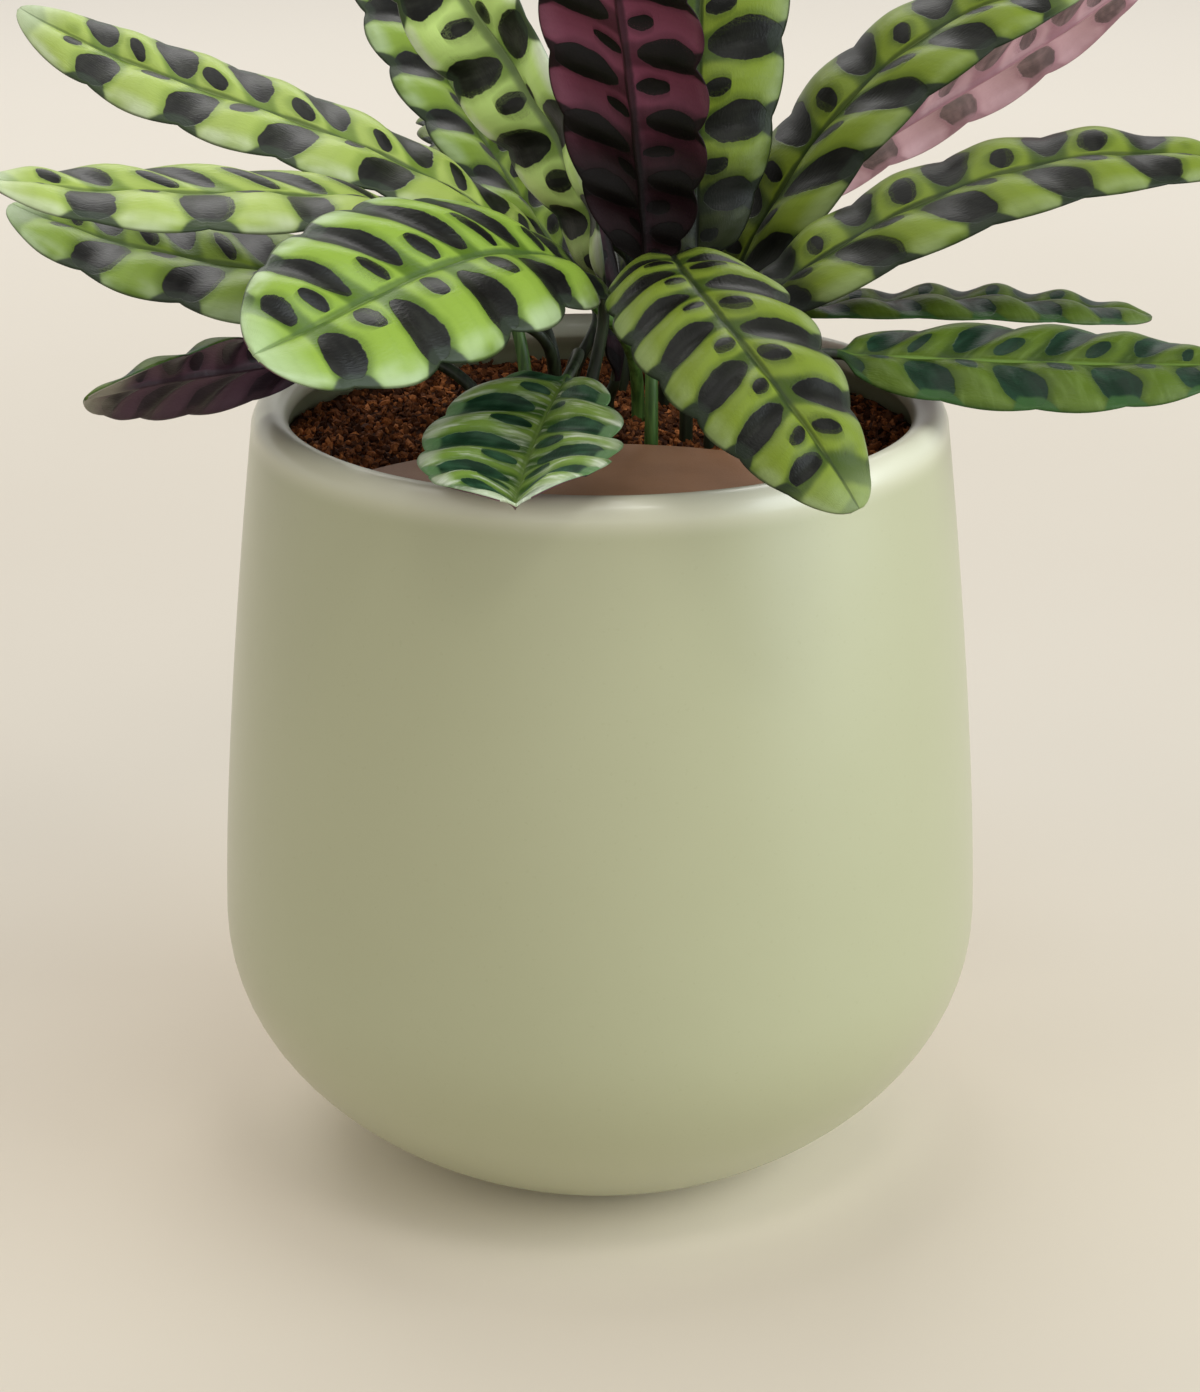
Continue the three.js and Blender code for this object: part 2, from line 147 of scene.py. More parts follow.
# %% Values, colours, places and noise
def feed(tree, socket, value):
    """Gives a socket a signal, a number or a colour."""
    if isinstance(value, Signal):
        tree.links.new(value.socket, socket)
    elif isinstance(value, (int, float)):
        socket.default_value = value
    else:
        socket.default_value = (*value, 1.0) if len(socket.default_value) == 4 else value


def srgb(red, green, blue):
    """A colour as a screen shows it, 0 to 255, turned into the linear values of a shader."""
    shares = [value / 255 for value in (red, green, blue)]
    return tuple(s / 12.92 if s <= 0.04045 else ((s + 0.055) / 1.055) ** 2.4 for s in shares)


def blend(share, first, second):
    """The first colour where share is 0 and the second where it is 1."""
    tree = share.tree
    node = tree.nodes.new("ShaderNodeMix")
    node.data_type = "RGBA"
    feed(tree, node.inputs["Factor"], share)
    feed(tree, node.inputs[6], first)
    feed(tree, node.inputs[7], second)
    return Signal(tree, node.outputs[2])


def point(tree, x, y, z):
    """Joins three signals or numbers into a place for a texture."""
    node = tree.nodes.new("ShaderNodeCombineXYZ")
    for socket, value in zip(node.inputs, (x, y, z)):
        feed(tree, socket, value)
    return Signal(tree, node.outputs[0])


def split(tree, socket):
    """The three parts of a vector socket."""
    node = tree.nodes.new("ShaderNodeSeparateXYZ")
    tree.links.new(socket, node.inputs[0])
    return [Signal(tree, output) for output in node.outputs]


def noise(place, scale, detail=2.0, rough=0.5):
    """Soft noise, about 0.5 on average."""
    node = place.tree.nodes.new("ShaderNodeTexNoise")
    node.inputs["Scale"].default_value = scale
    node.inputs["Detail"].default_value = detail
    node.inputs["Roughness"].default_value = rough
    feed(place.tree, node.inputs["Vector"], place)
    return Signal(place.tree, node.outputs["Fac"])


def chance(number, salt):
    """One random number from 0 to 1 for each different value of a number."""
    node = number.tree.nodes.new("ShaderNodeTexWhiteNoise")
    node.noise_dimensions = "1D"
    feed(number.tree, node.inputs["W"], number + salt)
    return Signal(number.tree, node.outputs["Value"])


def object_place(tree):
    """The place of a point in the object, in metres."""
    node = tree.nodes.new("ShaderNodeTexCoord")
    return Signal(tree, node.outputs["Object"])


# %% An empty finish, and bump
def new_finish(name, roughness=0.5, specular=0.5, coat=0.0, coat_roughness=0.1):
    """An empty material with a shader. Returns the material, its tree and the shader."""
    material = bpy.data.materials.new(name)
    material.use_nodes = True
    tree = material.node_tree
    shader = tree.nodes["Principled BSDF"]
    shader.inputs["Roughness"].default_value = roughness
    shader.inputs["Specular IOR Level"].default_value = specular
    shader.inputs["Coat Weight"].default_value = coat
    shader.inputs["Coat Roughness"].default_value = coat_roughness
    return material, tree, shader


def raise_surface(tree, shader, height, distance):
    """Bump: height is a signal, about 0 to 1, and distance its full height in metres."""
    node = tree.nodes.new("ShaderNodeBump")
    node.inputs["Strength"].default_value = 1.0
    node.inputs["Distance"].default_value = distance
    feed(tree, node.inputs["Height"], height)
    tree.links.new(node.outputs["Normal"], shader.inputs["Normal"])


# %% [markdown]
# ## Stage
# A pale warm floor and a soft studio light. The main light is a large cool box on the
# right, which makes the right side of the pot paler than the middle. Weaker boxes behind
# and overhead put the pale sheen on the leaves that arch over. A low box in front lights
# the belly of the pot and the floor before it, and a small high one the glint on the lip.
# The floor's tone follows the distance from the pot, and most of it is painted light: a
# bright ring round the foot that thins the shadow falling there, a paler tone near the pot,
# the plain tone darker in the foreground, and a paler tone far away that makes up for the
# lamps' falloff.


# %% Soft box
def soft_box(name, place, aim, width, height, watts, colour):
    """An area light at a place, turned to face aim."""
    data = bpy.data.lights.new(name, "AREA")
    data.shape = "RECTANGLE"
    data.size = width
    data.size_y = height
    data.energy = watts
    data.color = colour
    light = bpy.data.objects.new(name, data)
    light.location = place
    direction = Vector(aim) - Vector(place)
    light.rotation_euler = direction.to_track_quat("-Z", "Y").to_euler()
    bpy.context.scene.collection.objects.link(light)


# %% Floor
FLOOR_SIZE = 12.0
NEAR_TONE = srgb(198, 190, 177)
NEAR_TONE_CLOUD = srgb(204, 197, 185)
# Painted light: the paler tones near the pot and round its foot thin the pot's shadow, and the paler far
# tone makes up for the lamps' falloff.
NEAR_POT_PAINTED_LIGHT = srgb(213, 202, 185)
FOOT_PAINTED_LIGHT = srgb(246, 236, 218)
FAR_PAINTED_LIGHT = srgb(246, 240, 230)
floor_bm = bmesh.new()
bmesh.ops.create_grid(floor_bm, x_segments=1, y_segments=1, size=FLOOR_SIZE / 2)
floor_mesh = bpy.data.meshes.new("studio_floor")
floor_bm.to_mesh(floor_mesh)
floor_bm.free()
studio_floor = bpy.data.objects.new("studio_floor", floor_mesh)
bpy.context.scene.collection.objects.link(studio_floor)
floor_finish, floor_tree, floor_shader = new_finish("pale_floor", roughness=0.75, specular=0.25)
floor_place = object_place(floor_tree)
floor_x, floor_y, _ = split(floor_tree, floor_place.socket)
floor_distance = (floor_x * floor_x + floor_y * floor_y) ** 0.5
floor_tone = blend(noise(floor_place, 3.0, detail=3.0), NEAR_TONE, NEAR_TONE_CLOUD)
# Painted light: paler towards the pot and paler still round its foot, where its shadow falls; paler far
# away, for the lamps' falloff.
floor_tone = blend(floor_distance.ramp(0.32, 0.06), floor_tone, NEAR_POT_PAINTED_LIGHT)
floor_tone = blend(floor_distance.ramp(0.105, 0.06), floor_tone, FOOT_PAINTED_LIGHT)
floor_tone = blend(floor_distance.ramp(0.4, 2.6), floor_tone, FAR_PAINTED_LIGHT)
feed(floor_tree, floor_shader.inputs["Base Color"], floor_tone)
floor_mesh.materials.append(floor_finish)
print("floor:", FLOOR_SIZE, "m across")

# %% Lights
AIM = (0, 0, 0.15)
soft_box("right_box", (1.6, -0.5, 0.75), AIM, 1.5, 1.5, 24, (0.86, 0.95, 1.0))
soft_box("back_box", (-0.2, 1.4, 1.5), AIM, 1.8, 0.9, 14, (1.0, 0.99, 0.97))
soft_box("overhead_box", (-0.4, -0.1, 1.9), AIM, 1.3, 1.3, 8, (1.0, 0.99, 0.97))
soft_box("front_box", (0.1, -2.4, 0.35), (0, 0, 0.2), 2.4, 0.7, 4, (1.0, 0.98, 0.95))
soft_box("lip_box", (0.35, -0.9, 1.7), AIM, 0.5, 0.3, 3.5, (1.0, 0.99, 0.97))

WORLD_COLOUR = (1.0, 0.978, 0.945, 1)
WORLD_STRENGTH = 0.62
world = bpy.data.worlds.new("studio_world")
bpy.context.scene.world = world
world.use_nodes = True
world.node_tree.nodes["Background"].inputs["Color"].default_value = WORLD_COLOUR
world.node_tree.nodes["Background"].inputs["Strength"].default_value = WORLD_STRENGTH
bpy.context.scene.view_settings.view_transform = "Standard"

# %% [markdown]
# ## Pot
# The pot was turned on a wheel: one outline, carried round an axis. It could be made by
# stacking and scaling rings, but a spin of the outline is the way the real one is made,
# and the outline stays readable as two curves and a rolled lip, which is a little taller
# outside than inside. The solid of the frame has 48 flat sides, so this piece repeats its
# outline with more steps and stands for it.

# %% Pot outline
POT_HEIGHT = 205.8
FOOT_RADIUS = 41
BELLY_RADIUS = 100
BELLY_HEIGHT = 68
RIM_RADIUS = 88.1
SHOULDER_POWER = 1.41
BASE_POWER_OUT = 2 / 1.27
BASE_POWER_UP = 2 / 2.12
BASE_POWER_IN = 2.2
LIP_HALF_WIDTH = 4.8
LIP_ROLL = 6.4
NECK_RADIUS = 83.4
NECK_HEIGHT = 197.6
WALL_TOP = 190
WALL = 6
FLOOR = 8
POT_STEPS = 144


def outer_radius(z):
    """Radius of the wall outside, above the widest place."""
    share = max(z - BELLY_HEIGHT, 0) / (POT_HEIGHT - BELLY_HEIGHT)
    return BELLY_RADIUS - (BELLY_RADIUS - RIM_RADIUS) * share ** SHOULDER_POWER


def inner_radius(z):
    """Radius of the hollow, from the floor to the neck."""
    if z >= BELLY_HEIGHT:
        share = (z - BELLY_HEIGHT) / (NECK_HEIGHT - BELLY_HEIGHT)
        return BELLY_RADIUS - WALL - (BELLY_RADIUS - WALL - NECK_RADIUS) * share ** SHOULDER_POWER
    share = (BELLY_HEIGHT - z) / (BELLY_HEIGHT - FLOOR)
    floor_radius = FOOT_RADIUS - WALL
    return floor_radius + (BELLY_RADIUS - WALL - floor_radius) * math.sqrt(1 - share ** BASE_POWER_IN)


def pot_outline():
    """Half the section of the pot, from the middle of the foot over the lip to the floor."""
    outline = [(0, 0)]
    base_steps = 22
    for i in range(base_steps + 1):
        a = i / base_steps * math.pi / 2
        radius = FOOT_RADIUS + (BELLY_RADIUS - FOOT_RADIUS) * math.sin(a) ** BASE_POWER_OUT
        outline.append((radius, BELLY_HEIGHT * (1 - max(math.cos(a), 0) ** BASE_POWER_UP)))
    roll_height = POT_HEIGHT - LIP_ROLL
    side_steps = 18
    for i in range(1, side_steps + 1):
        z = BELLY_HEIGHT + (roll_height - BELLY_HEIGHT) * i / side_steps
        outline.append((outer_radius(z), z))
    lip_middle = outer_radius(roll_height) - LIP_HALF_WIDTH
    lip_steps = 20
    for i in range(1, lip_steps + 2):
        a = i / lip_steps * math.pi
        half_height = LIP_ROLL if i <= lip_steps / 2 else LIP_HALF_WIDTH
        outline.append((lip_middle + LIP_HALF_WIDTH * math.cos(a),
                        POT_HEIGHT - half_height * (1 - math.sin(a))))
    outline.append((NECK_RADIUS, NECK_HEIGHT))
    wall_steps = 6
    for i in range(wall_steps + 1):
        z = WALL_TOP + (BELLY_HEIGHT - WALL_TOP) * i / wall_steps
        outline.append((inner_radius(z), z))
    bend_steps = 12
    for i in range(1, bend_steps + 1):
        z = FLOOR + (BELLY_HEIGHT - FLOOR) * (1 - math.sin(i / bend_steps * math.pi / 2))
        outline.append((inner_radius(z), z))
    outline.append((0, FLOOR))
    return outline


def turned_piece(name, outline, steps):
    """Spins an outline of (radius, height) in millimetres about Z into a closed mesh."""
    bm = bmesh.new()
    corners = [bm.verts.new((r * MM, 0, z * MM)) for r, z in outline]
    edges = [bm.edges.new(pair) for pair in zip(corners, corners[1:])]
    bmesh.ops.spin(bm, geom=corners + edges, cent=(0, 0, 0), axis=(0, 0, 1), dvec=(0, 0, 0),
                   angle=2 * math.pi, steps=steps, use_merge=True, use_duplicate=False)
    bmesh.ops.remove_doubles(bm, verts=bm.verts, dist=1e-6)
    bmesh.ops.recalc_face_normals(bm, faces=bm.faces)
    return finished_object(name, bm)


def finished_object(name, bm, smooth=True):
    """Makes an object of a bmesh, at the origin, with its place in its mesh."""
    mesh = bpy.data.meshes.new(name)
    bm.to_mesh(mesh)
    bm.free()
    mesh.polygons.foreach_set("use_smooth", [smooth] * len(mesh.polygons))
    piece = bpy.data.objects.new(name, mesh)
    bpy.context.scene.collection.objects.link(piece)
    return piece


# %% Pot
glazed_pot = turned_piece("glazed_pot", pot_outline(), POT_STEPS)
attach(glazed_pot, "root")
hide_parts("pot")
print("pot faces:", len(glazed_pot.data.polygons))

# %% [markdown]
# ## Glaze
# The pot has a sage-green satin glaze. It is almost even, so the pattern is faint: large
# soft clouds in the tone, which change the gloss too, fine darker speckles, and a shallow
# ripple of the throwing. The lip is painted paler, painted light for the light it catches.

# %% Glaze
# Painted light: heights in metres over which the lip turns paler.
LIP_PAINTED_LIGHT_FROM = 0.196
LIP_PAINTED_LIGHT_TO = 0.204
glaze, tree, shader = new_finish("sage_glaze", roughness=0.38, specular=0.8, coat=0.45,
                                 coat_roughness=0.22)
place = object_place(tree)
_, _, up_the_pot = split(tree, place.socket)
cloud = noise(place, 14.0, detail=3.0)
speckle = noise(place, 900.0, detail=1.0)
tone = blend(cloud, srgb(165, 167, 131), srgb(171, 173, 138))
tone = blend(speckle.ramp(0.66, 0.78) * 0.25, tone, srgb(156, 156, 120))
# Painted light: the lip is painted paler, as if it were lit more.
tone = blend(up_the_pot.ramp(LIP_PAINTED_LIGHT_FROM, LIP_PAINTED_LIGHT_TO), tone, srgb(206, 206, 182))
feed(tree, shader.inputs["Base Color"], tone)
feed(tree, shader.inputs["Roughness"], cloud * 0.08 + 0.34)
raise_surface(tree, shader, noise(place, 60.0, detail=2.0), 0.00012)
glazed_pot.data.materials.append(glaze)
print("nodes of the glaze:", len(tree.nodes))

# %% [markdown]
# ## Soil
# The filling is coir, with a rough top of small chips. The body under the chips only has
# to fill the pot, so it is spun like the pot, and its top gets a soft unevenness. Each
# chip is a stretched and flattened ball of twenty faces. Particles would do it too, but
# they would be lost in the export, so the chips are real mesh, joined into one piece.

# %% Soil body
GAP = 0.3
SOIL_TOP = 194
PLATE_RADIUS = 82.6
PLATE_MIDDLE = 47
PLATE_CORNER = 4
PLATE_THICKNESS = 2.6
SOIL_SEED = 7
BODY_DROP = 0.9
LUMP_HEIGHT = 0.25
GRAIN_HEIGHT = 0.3


def on_plate(x, y, spare):
    """True where the half-moon plate covers the soil, or comes closer than spare."""
    near_front = math.hypot(x, y) < PLATE_RADIUS + spare
    return near_front and math.hypot(x, y + 2 * PLATE_MIDDLE) < PLATE_RADIUS + spare


def soil_outline():
    """Half the section of the filling, a hair inside the pot's hollow."""
    outline = [(0, FLOOR + GAP)]
    steps = 12
    for i in range(steps + 1):
        z = FLOOR + (BELLY_HEIGHT - FLOOR) * (1 - math.cos(i / steps * math.pi / 2))
        outline.append((inner_radius(z) - GAP, z + GAP))
    for i in range(1, 6):
        z = BELLY_HEIGHT + (WALL_TOP - BELLY_HEIGHT) * i / 5
        outline.append((inner_radius(z) - GAP, z + GAP))
    top_radius = NECK_RADIUS - GAP
    top_steps = 40
    for i in range(top_steps):
        outline.append((top_radius * (1 - i / top_steps), SOIL_TOP - BODY_DROP))
    outline.append((0, SOIL_TOP - BODY_DROP))
    return outline


soil_rng = np.random.default_rng(SOIL_SEED)
soil_heap = turned_piece("coir_soil", soil_outline(), POT_STEPS)
for vertex in soil_heap.data.vertices:
    x, y, z = vertex.co / MM
    if z > SOIL_TOP - 1 and not on_plate(x, y, 1.0):
        lump = math.sin(x * 0.31 + 1.0) * math.sin(y * 0.27) + 0.6 * math.sin(x * 0.73 + y * 0.61)
        vertex.co.z += (LUMP_HEIGHT * lump + soil_rng.uniform(-GRAIN_HEIGHT, GRAIN_HEIGHT)) * MM
print("soil faces:", len(soil_heap.data.polygons))

# %% Soil chips
CHIPS = 7600
CHIP_SIZES = (0.45, 1.25)
CHIP_WALL_SPACE = 2.2
CHIP_PLATE_SPACE = 0.8
CHIP_ROUGHNESS = 0.25
CHIP_DEPTH = 0.7
BODY_SHADE = 0.1


def chip_mesh():
    """One chip: a ball of twenty faces, in unit size."""
    bm = bmesh.new()
    bmesh.ops.create_icosphere(bm, subdivisions=1, radius=1.0)
    corners = np.array([v.co for v in bm.verts])
    faces = np.array([[v.index for v in f.verts] for f in bm.faces])
    bm.free()
    return corners, faces


def random_turn(rng):
    """A turn in any direction, as a matrix made of a random quaternion."""
    quaternion = rng.normal(size=4)
    w, x, y, z = quaternion / np.linalg.norm(quaternion)
    return np.array([
        [1 - 2 * (y * y + z * z), 2 * (x * y - z * w), 2 * (x * z + y * w)],
        [2 * (x * y + z * w), 1 - 2 * (x * x + z * z), 2 * (y * z - x * w)],
        [2 * (x * z - y * w), 2 * (y * z + x * w), 1 - 2 * (x * x + y * y)],
    ])


def scatter_chips(rng, count):
    """Corners, faces and shades of all the chips on the open soil."""
    ball, ball_faces = chip_mesh()
    corners, faces, shades = [], [], []
    while len(corners) < count:
        radius = (NECK_RADIUS - CHIP_WALL_SPACE) * math.sqrt(rng.uniform())
        angle = rng.uniform(0, 2 * math.pi)
        x, y = radius * math.cos(angle), radius * math.sin(angle)
        if on_plate(x, y, CHIP_PLATE_SPACE):
            continue
        size = rng.uniform(*CHIP_SIZES)
        stretch = np.array([size * rng.uniform(0.9, 1.9), size, size * rng.uniform(0.4, 0.8)])
        rough = ball * (1 + CHIP_ROUGHNESS * rng.normal(size=(len(ball), 1)))
        turned = (rough * stretch) @ random_turn(rng).T
        height = SOIL_TOP - CHIP_DEPTH + rng.uniform(-0.5, 0.9)
        shades += [rng.uniform()] * len(ball)
        faces.append(ball_faces + len(ball) * len(corners))
        corners.append(turned + (x, y, height))
    return np.concatenate(corners) * MM, np.concatenate(faces), shades


chip_corners, chip_faces, chip_shades = scatter_chips(soil_rng, CHIPS)
chips = bpy.data.meshes.new("coir_chips")
chips.from_pydata(chip_corners.tolist(), [], chip_faces.tolist())
soil_bm = bmesh.new()
soil_bm.from_mesh(soil_heap.data)
shade_layer = soil_bm.verts.layers.float.new("shade")
body_count = len(soil_bm.verts)
soil_bm.from_mesh(chips)
soil_bm.verts.ensure_lookup_table()
for index, vertex in enumerate(soil_bm.verts):
    vertex[shade_layer] = BODY_SHADE if index < body_count else chip_shades[index - body_count]
soil_bm.to_mesh(soil_heap.data)
soil_bm.free()
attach(soil_heap, "root")
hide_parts("soil")
print("chips:", CHIPS, "faces with the soil:", len(soil_heap.data.polygons))

# %% Soil finish
coir, tree, shader = new_finish("coir", roughness=0.9, specular=0.2)
shade_node = tree.nodes.new("ShaderNodeAttribute")
shade_node.attribute_name = "shade"
shade = Signal(tree, shade_node.outputs["Fac"])
place = object_place(tree)
grain = noise(place, 1400.0, detail=2.0)
tone = blend(shade.ramp(0.0, 0.75), srgb(58, 32, 18), srgb(134, 80, 42))
tone = blend(shade.ramp(0.75, 1.0), tone, srgb(196, 122, 68))
tone = blend(grain.ramp(0.35, 0.7) * 0.4, tone, srgb(74, 40, 22))
feed(tree, shader.inputs["Base Color"], tone)
raise_surface(tree, shader, grain, 0.0003)
soil_heap.data.materials.append(coir)
print("nodes of the coir:", len(tree.nodes))

# %% [markdown]
# ## Plate
# A thin half-moon plate of brown moulded plastic lies on the soil against the front wall.
# Its outline is two equal arcs with rounded ends. The outline becomes one face, the face
# is extruded upwards, and a bevel with three segments softens the rim, as a mould does.


# %% Plate
ARC_STEPS = 48
CORNER_STEPS = 10
RIM_BEVEL = 0.6


def plate_outline():
    """Corners of the half-moon: the front arc, a rounded end, the back arc, the other end."""
    reach = PLATE_RADIUS - PLATE_CORNER
    corner_angle = math.asin(PLATE_MIDDLE / reach)
    corner_x = reach * math.cos(corner_angle)
    arcs = [
        (0, 0, PLATE_RADIUS, corner_angle - math.pi, -corner_angle, ARC_STEPS),
        (corner_x, -PLATE_MIDDLE, PLATE_CORNER, -corner_angle, corner_angle, CORNER_STEPS),
        (0, -2 * PLATE_MIDDLE, PLATE_RADIUS, corner_angle, math.pi - corner_angle, ARC_STEPS),
        (-corner_x, -PLATE_MIDDLE, PLATE_CORNER,
         math.pi - corner_angle, math.pi + corner_angle, CORNER_STEPS),
    ]
    outline = []
    for x, y, radius, start, end, steps in arcs:
        for i in range(steps):
            a = start + (end - start) * i / steps
            outline.append((x + radius * math.cos(a), y + radius * math.sin(a)))
    return outline


plate_bm = bmesh.new()
plate_bottom = SOIL_TOP + GAP
bottom_face = plate_bm.faces.new(
    [plate_bm.verts.new((x * MM, y * MM, plate_bottom * MM)) for x, y in plate_outline()])
raised = bmesh.ops.extrude_face_region(plate_bm, geom=[bottom_face])
top_corners = [v for v in raised["geom"] if isinstance(v, bmesh.types.BMVert)]
bmesh.ops.translate(plate_bm, verts=top_corners, vec=(0, 0, PLATE_THICKNESS * MM))
rim_edges = [e for e in plate_bm.edges if abs(e.verts[0].co.z - e.verts[1].co.z) < 1e-6]
bmesh.ops.bevel(plate_bm, geom=rim_edges, offset=RIM_BEVEL * MM, offset_type="OFFSET", segments=3,
                profile=0.5, affect="EDGES", material=-1)
bmesh.ops.recalc_face_normals(plate_bm, faces=plate_bm.faces)
half_moon = finished_object("half_moon_plate", plate_bm, smooth=False)
plastic, tree, shader = new_finish("brown_plastic", roughness=0.55, specular=0.4)
place = object_place(tree)
grain = noise(place, 2200.0, detail=1.0)
dust = noise(place, 60.0, detail=4.0)
tone = blend(dust.ramp(0.3, 0.75), srgb(138, 98, 68), srgb(152, 110, 78))
feed(tree, shader.inputs["Base Color"], tone)
feed(tree, shader.inputs["Roughness"], grain * 0.15 + 0.48)
raise_surface(tree, shader, grain, 0.00008)
half_moon.data.materials.append(plastic)
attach(half_moon, "root")
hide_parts("soil_plate")
print("plate faces:", len(half_moon.data.polygons))

# %% [markdown]
# ## Leaves: where they are
# Every leaf follows one rule with its own numbers. The root is where its stalk leaves the
# soil, the joint is where the stalk meets the blade. From there the blade runs along a
# line whose heading, slope and roll change evenly, with an extra sag in the middle.
# Each half of a blade has its own waves: their count, where they begin, and how far they
# lean towards the tip. The table has one row for each leaf, in millimetres and degrees.

# %% Leaf table
LEAF_COLUMNS = ("root", "joint", "heading", "rise", "fall", "sag", "sweep", "roll", "twist",
                "length", "width", "tip", "fold", "left", "right")
LEAF_ROWS = {
    "left_high": ((10, 21), (-6, 0, 234.5), 171, 45, 24, 19, -16, 0, -27,
                  165, 36, 0.55, 0, (6, 0.62, 0.1), (7.2, 0.49, 0.9)),
    "left_mid": ((-18, -2), (-38.5, -4.8, 250.8), 217, 26, 14, 14, -23, -2, -9,
                 119, 46, 0.6, 0, (4.6, 0.83, 0.1), (4.3, 0.32, 1.1)),
    "left_low": ((-12, 14), (-20, 6, 223), 168, 15, 19, 13, -10, -31, 27,
                 144, 42, 0.48, 0, (5, 0.68, 0.2), (6.3, 0.55, 0.9)),
    "front_left": ((-4, -6), (-1.5, -10.1, 237.2), 236, 35.5, -2.4, 17.4, 2, -21, -23,
                   138, 50, 0.5, 2, (5.2, 0.1, 0.1), (6.3, 0.04, 0.8)),
    "front_right": ((22, 0), (19, -12.5, 244.1), -98, 19.7, -51, 0, 61, 5.5, 7.5,
                    126, 43, 0.47, -9.6, (5.7, 0.31, 0.5), (8.5, 0.03, 0.4)),
    "front_small": ((-9, 4), (-8, -38.5, 221.4), -114.5, -24, 24, 14.5, 30, -2.4, 6.2,
                    71, 50, 0.38, 23.6, (4.5, 0.2, 0.5), (4.5, 0.7, 0.6)),
    "right_lower": ((28, -6), (59, -15, 221), -3, -3, -1, 0, 8, 20, 1,
                    99, 36, 0.55, 0, (4.3, 0.3, 1), (4.3, 0.73, 0.4)),
    "right_thin": ((34, 6), (46, 18, 223), 10, 5, -11, 0, -1, -5, 7,
                   101, 30, 0.48, 0, (5.4, 0, 0.5), (5.4, 0.1, 0.5)),
    "right_mid": ((30, 16), (32.5, 1, 223), 13, 39, -13, -5, -11, 12, 2,
                  142, 42, 0.55, 0, (5.6, 0.86, 0.1), (5.3, 0.33, 0.6)),
    "right_high": ((24, 34), (28, 42, 207), 20, 68, 2, -12, -21, 5, 21,
                   147, 45, 0.55, 0, (6.3, 0.9, 0.1), (5.4, 0.85, 0.9)),
    "centre_right": ((17, 34), (25, 24, 232), 90, 76, 30, 0, -8, 3, 2,
                     176, 46, 0.6, 0, (7.9, 0.3, 0.2), (7.9, 0.94, 0.2)),
    "centre_purple": ((13, -8), (12, -6, 240), -113, 80, 58, 0, 0, 1, 1,
                      138, 40, 0.6, 0, (7.7, 0.26, -0.1), (7.9, 0.74, 0.5)),
    "centre_left": ((2, 28), (4, 26, 203), 164, 98, 70, 31, 0, -171, 119,
                    180, 38, 0.6, 24, (7.4, 0.8, 0.2), (7.5, 0.72, 0.2)),
    "behind_left": ((-8, 40), (-2, 44, 219.5), 141, 41, 41, 0, -30, 24, -24,
                    141, 41, 0.6, 6, (7, 0.65, 0.2), (7, 0, 0.8)),
    "pink_back": ((33, 54), (29.6, 74, 222), 22, 38, 35, 11, -5, -37, -20,
                  156, 37, 0.6, 0, (6, 0.25, 0.2), (6, 0.9, 0.8)),
    "purple_low": ((-28, 0), (-67.6, -6, 220), 230, 1, 1, -5, 5, 51, -11,
                   85, 34, 0.6, 0, (4.5, 0.5, 0.3), (4.5, 0.15, 0.8)),
    "back_high": ((6, 48), (8, 56, 226), 92, 72, 38, 0, -5, 0, 0,
                  170, 42, 0.6, 10, (7, 0.5, 0.2), (7, 0.85, 0.8)),
    "back_left": ((-12, 54), (-20, 66, 222), 100, 42, -20, 0, 6, 0, -8,
                  115, 40, 0.6, 10, (6, 0.75, 0.2), (6, 0.1, 0.8)),
    "back_right": ((16, 56), (18, 68, 224), 82, 48, -18, 0, 0, 0, 8,
                   118, 40, 0.6, 10, (6, 0, 0.2), (6, 0.35, 0.8)),
    "back_low": ((8, 58), (6, 70, 214), 94, 26, -50, 0, 4, 0, 0,
                 110, 42, 0.6, 10, (6, 0.25, 0.2), (6, 0.6, 0.8)),
}
LEAVES = {name: dict(zip(LEAF_COLUMNS, row)) for name, row in LEAF_ROWS.items()}
print("leaves:", len(LEAVES), "longest blade:", max(leaf["length"] for leaf in LEAVES.values()), "mm")

# %% [markdown]
# ## Leaves: the shape of one
# A leaf could be cut from a flat outline and bent with modifiers, but then its markings
# would have no coordinates of their own. Here a grid is wrapped into a flat sleeve: one
# direction runs from the foot of the stalk to the tip, the other once round the leaf, over
# its upper face and back under it. The long seam and the two ends are closed, and every
# point knows how far along and how far across it lies, which the markings need.

# %% Lines and frames of a leaf
STALK_RADIUS = 1.75
STALK_TOP_RADIUS = 1.35
STALK_DEPTH = 16
STALK_UPRIGHT = 0.45
STALK_LEAD = 0.35
BLADE_THICKNESS = 0.85
EDGE_THICKNESS = 0.65
TIP_HALF_WIDTH = 0.5
BASE_ROUND = 0.5
WAVE_HEIGHT = 1.5
WAVE_ENDS = 0.12
FULL_WAVE_WIDTH = 15
ARCH = 0.06
BASE_CROWDING = 0.08
BASE_CROWDING_REACH = 0.12


def leaf_frame(leaf, t):
    """Directions along the midrib, sideways and up, for an array of places t from 0 to 1."""
    heading = np.radians(leaf["heading"] + leaf["sweep"] * t)
    slope = np.radians(leaf["rise"] + (leaf["fall"] - leaf["rise"]) * t - leaf["sag"] * np.sin(np.pi * t))
    roll = np.radians(leaf["roll"] + leaf["twist"] * t)[:, None]
    along = np.stack([np.cos(slope) * np.cos(heading), np.cos(slope) * np.sin(heading), np.sin(slope)], 1)
    level = np.stack([-np.sin(heading), np.cos(heading), np.zeros_like(t)], 1)
    above = np.cross(along, level)
    side = level * np.cos(roll) + above * np.sin(roll)
    up = above * np.cos(roll) - level * np.sin(roll)
    return along, side, up


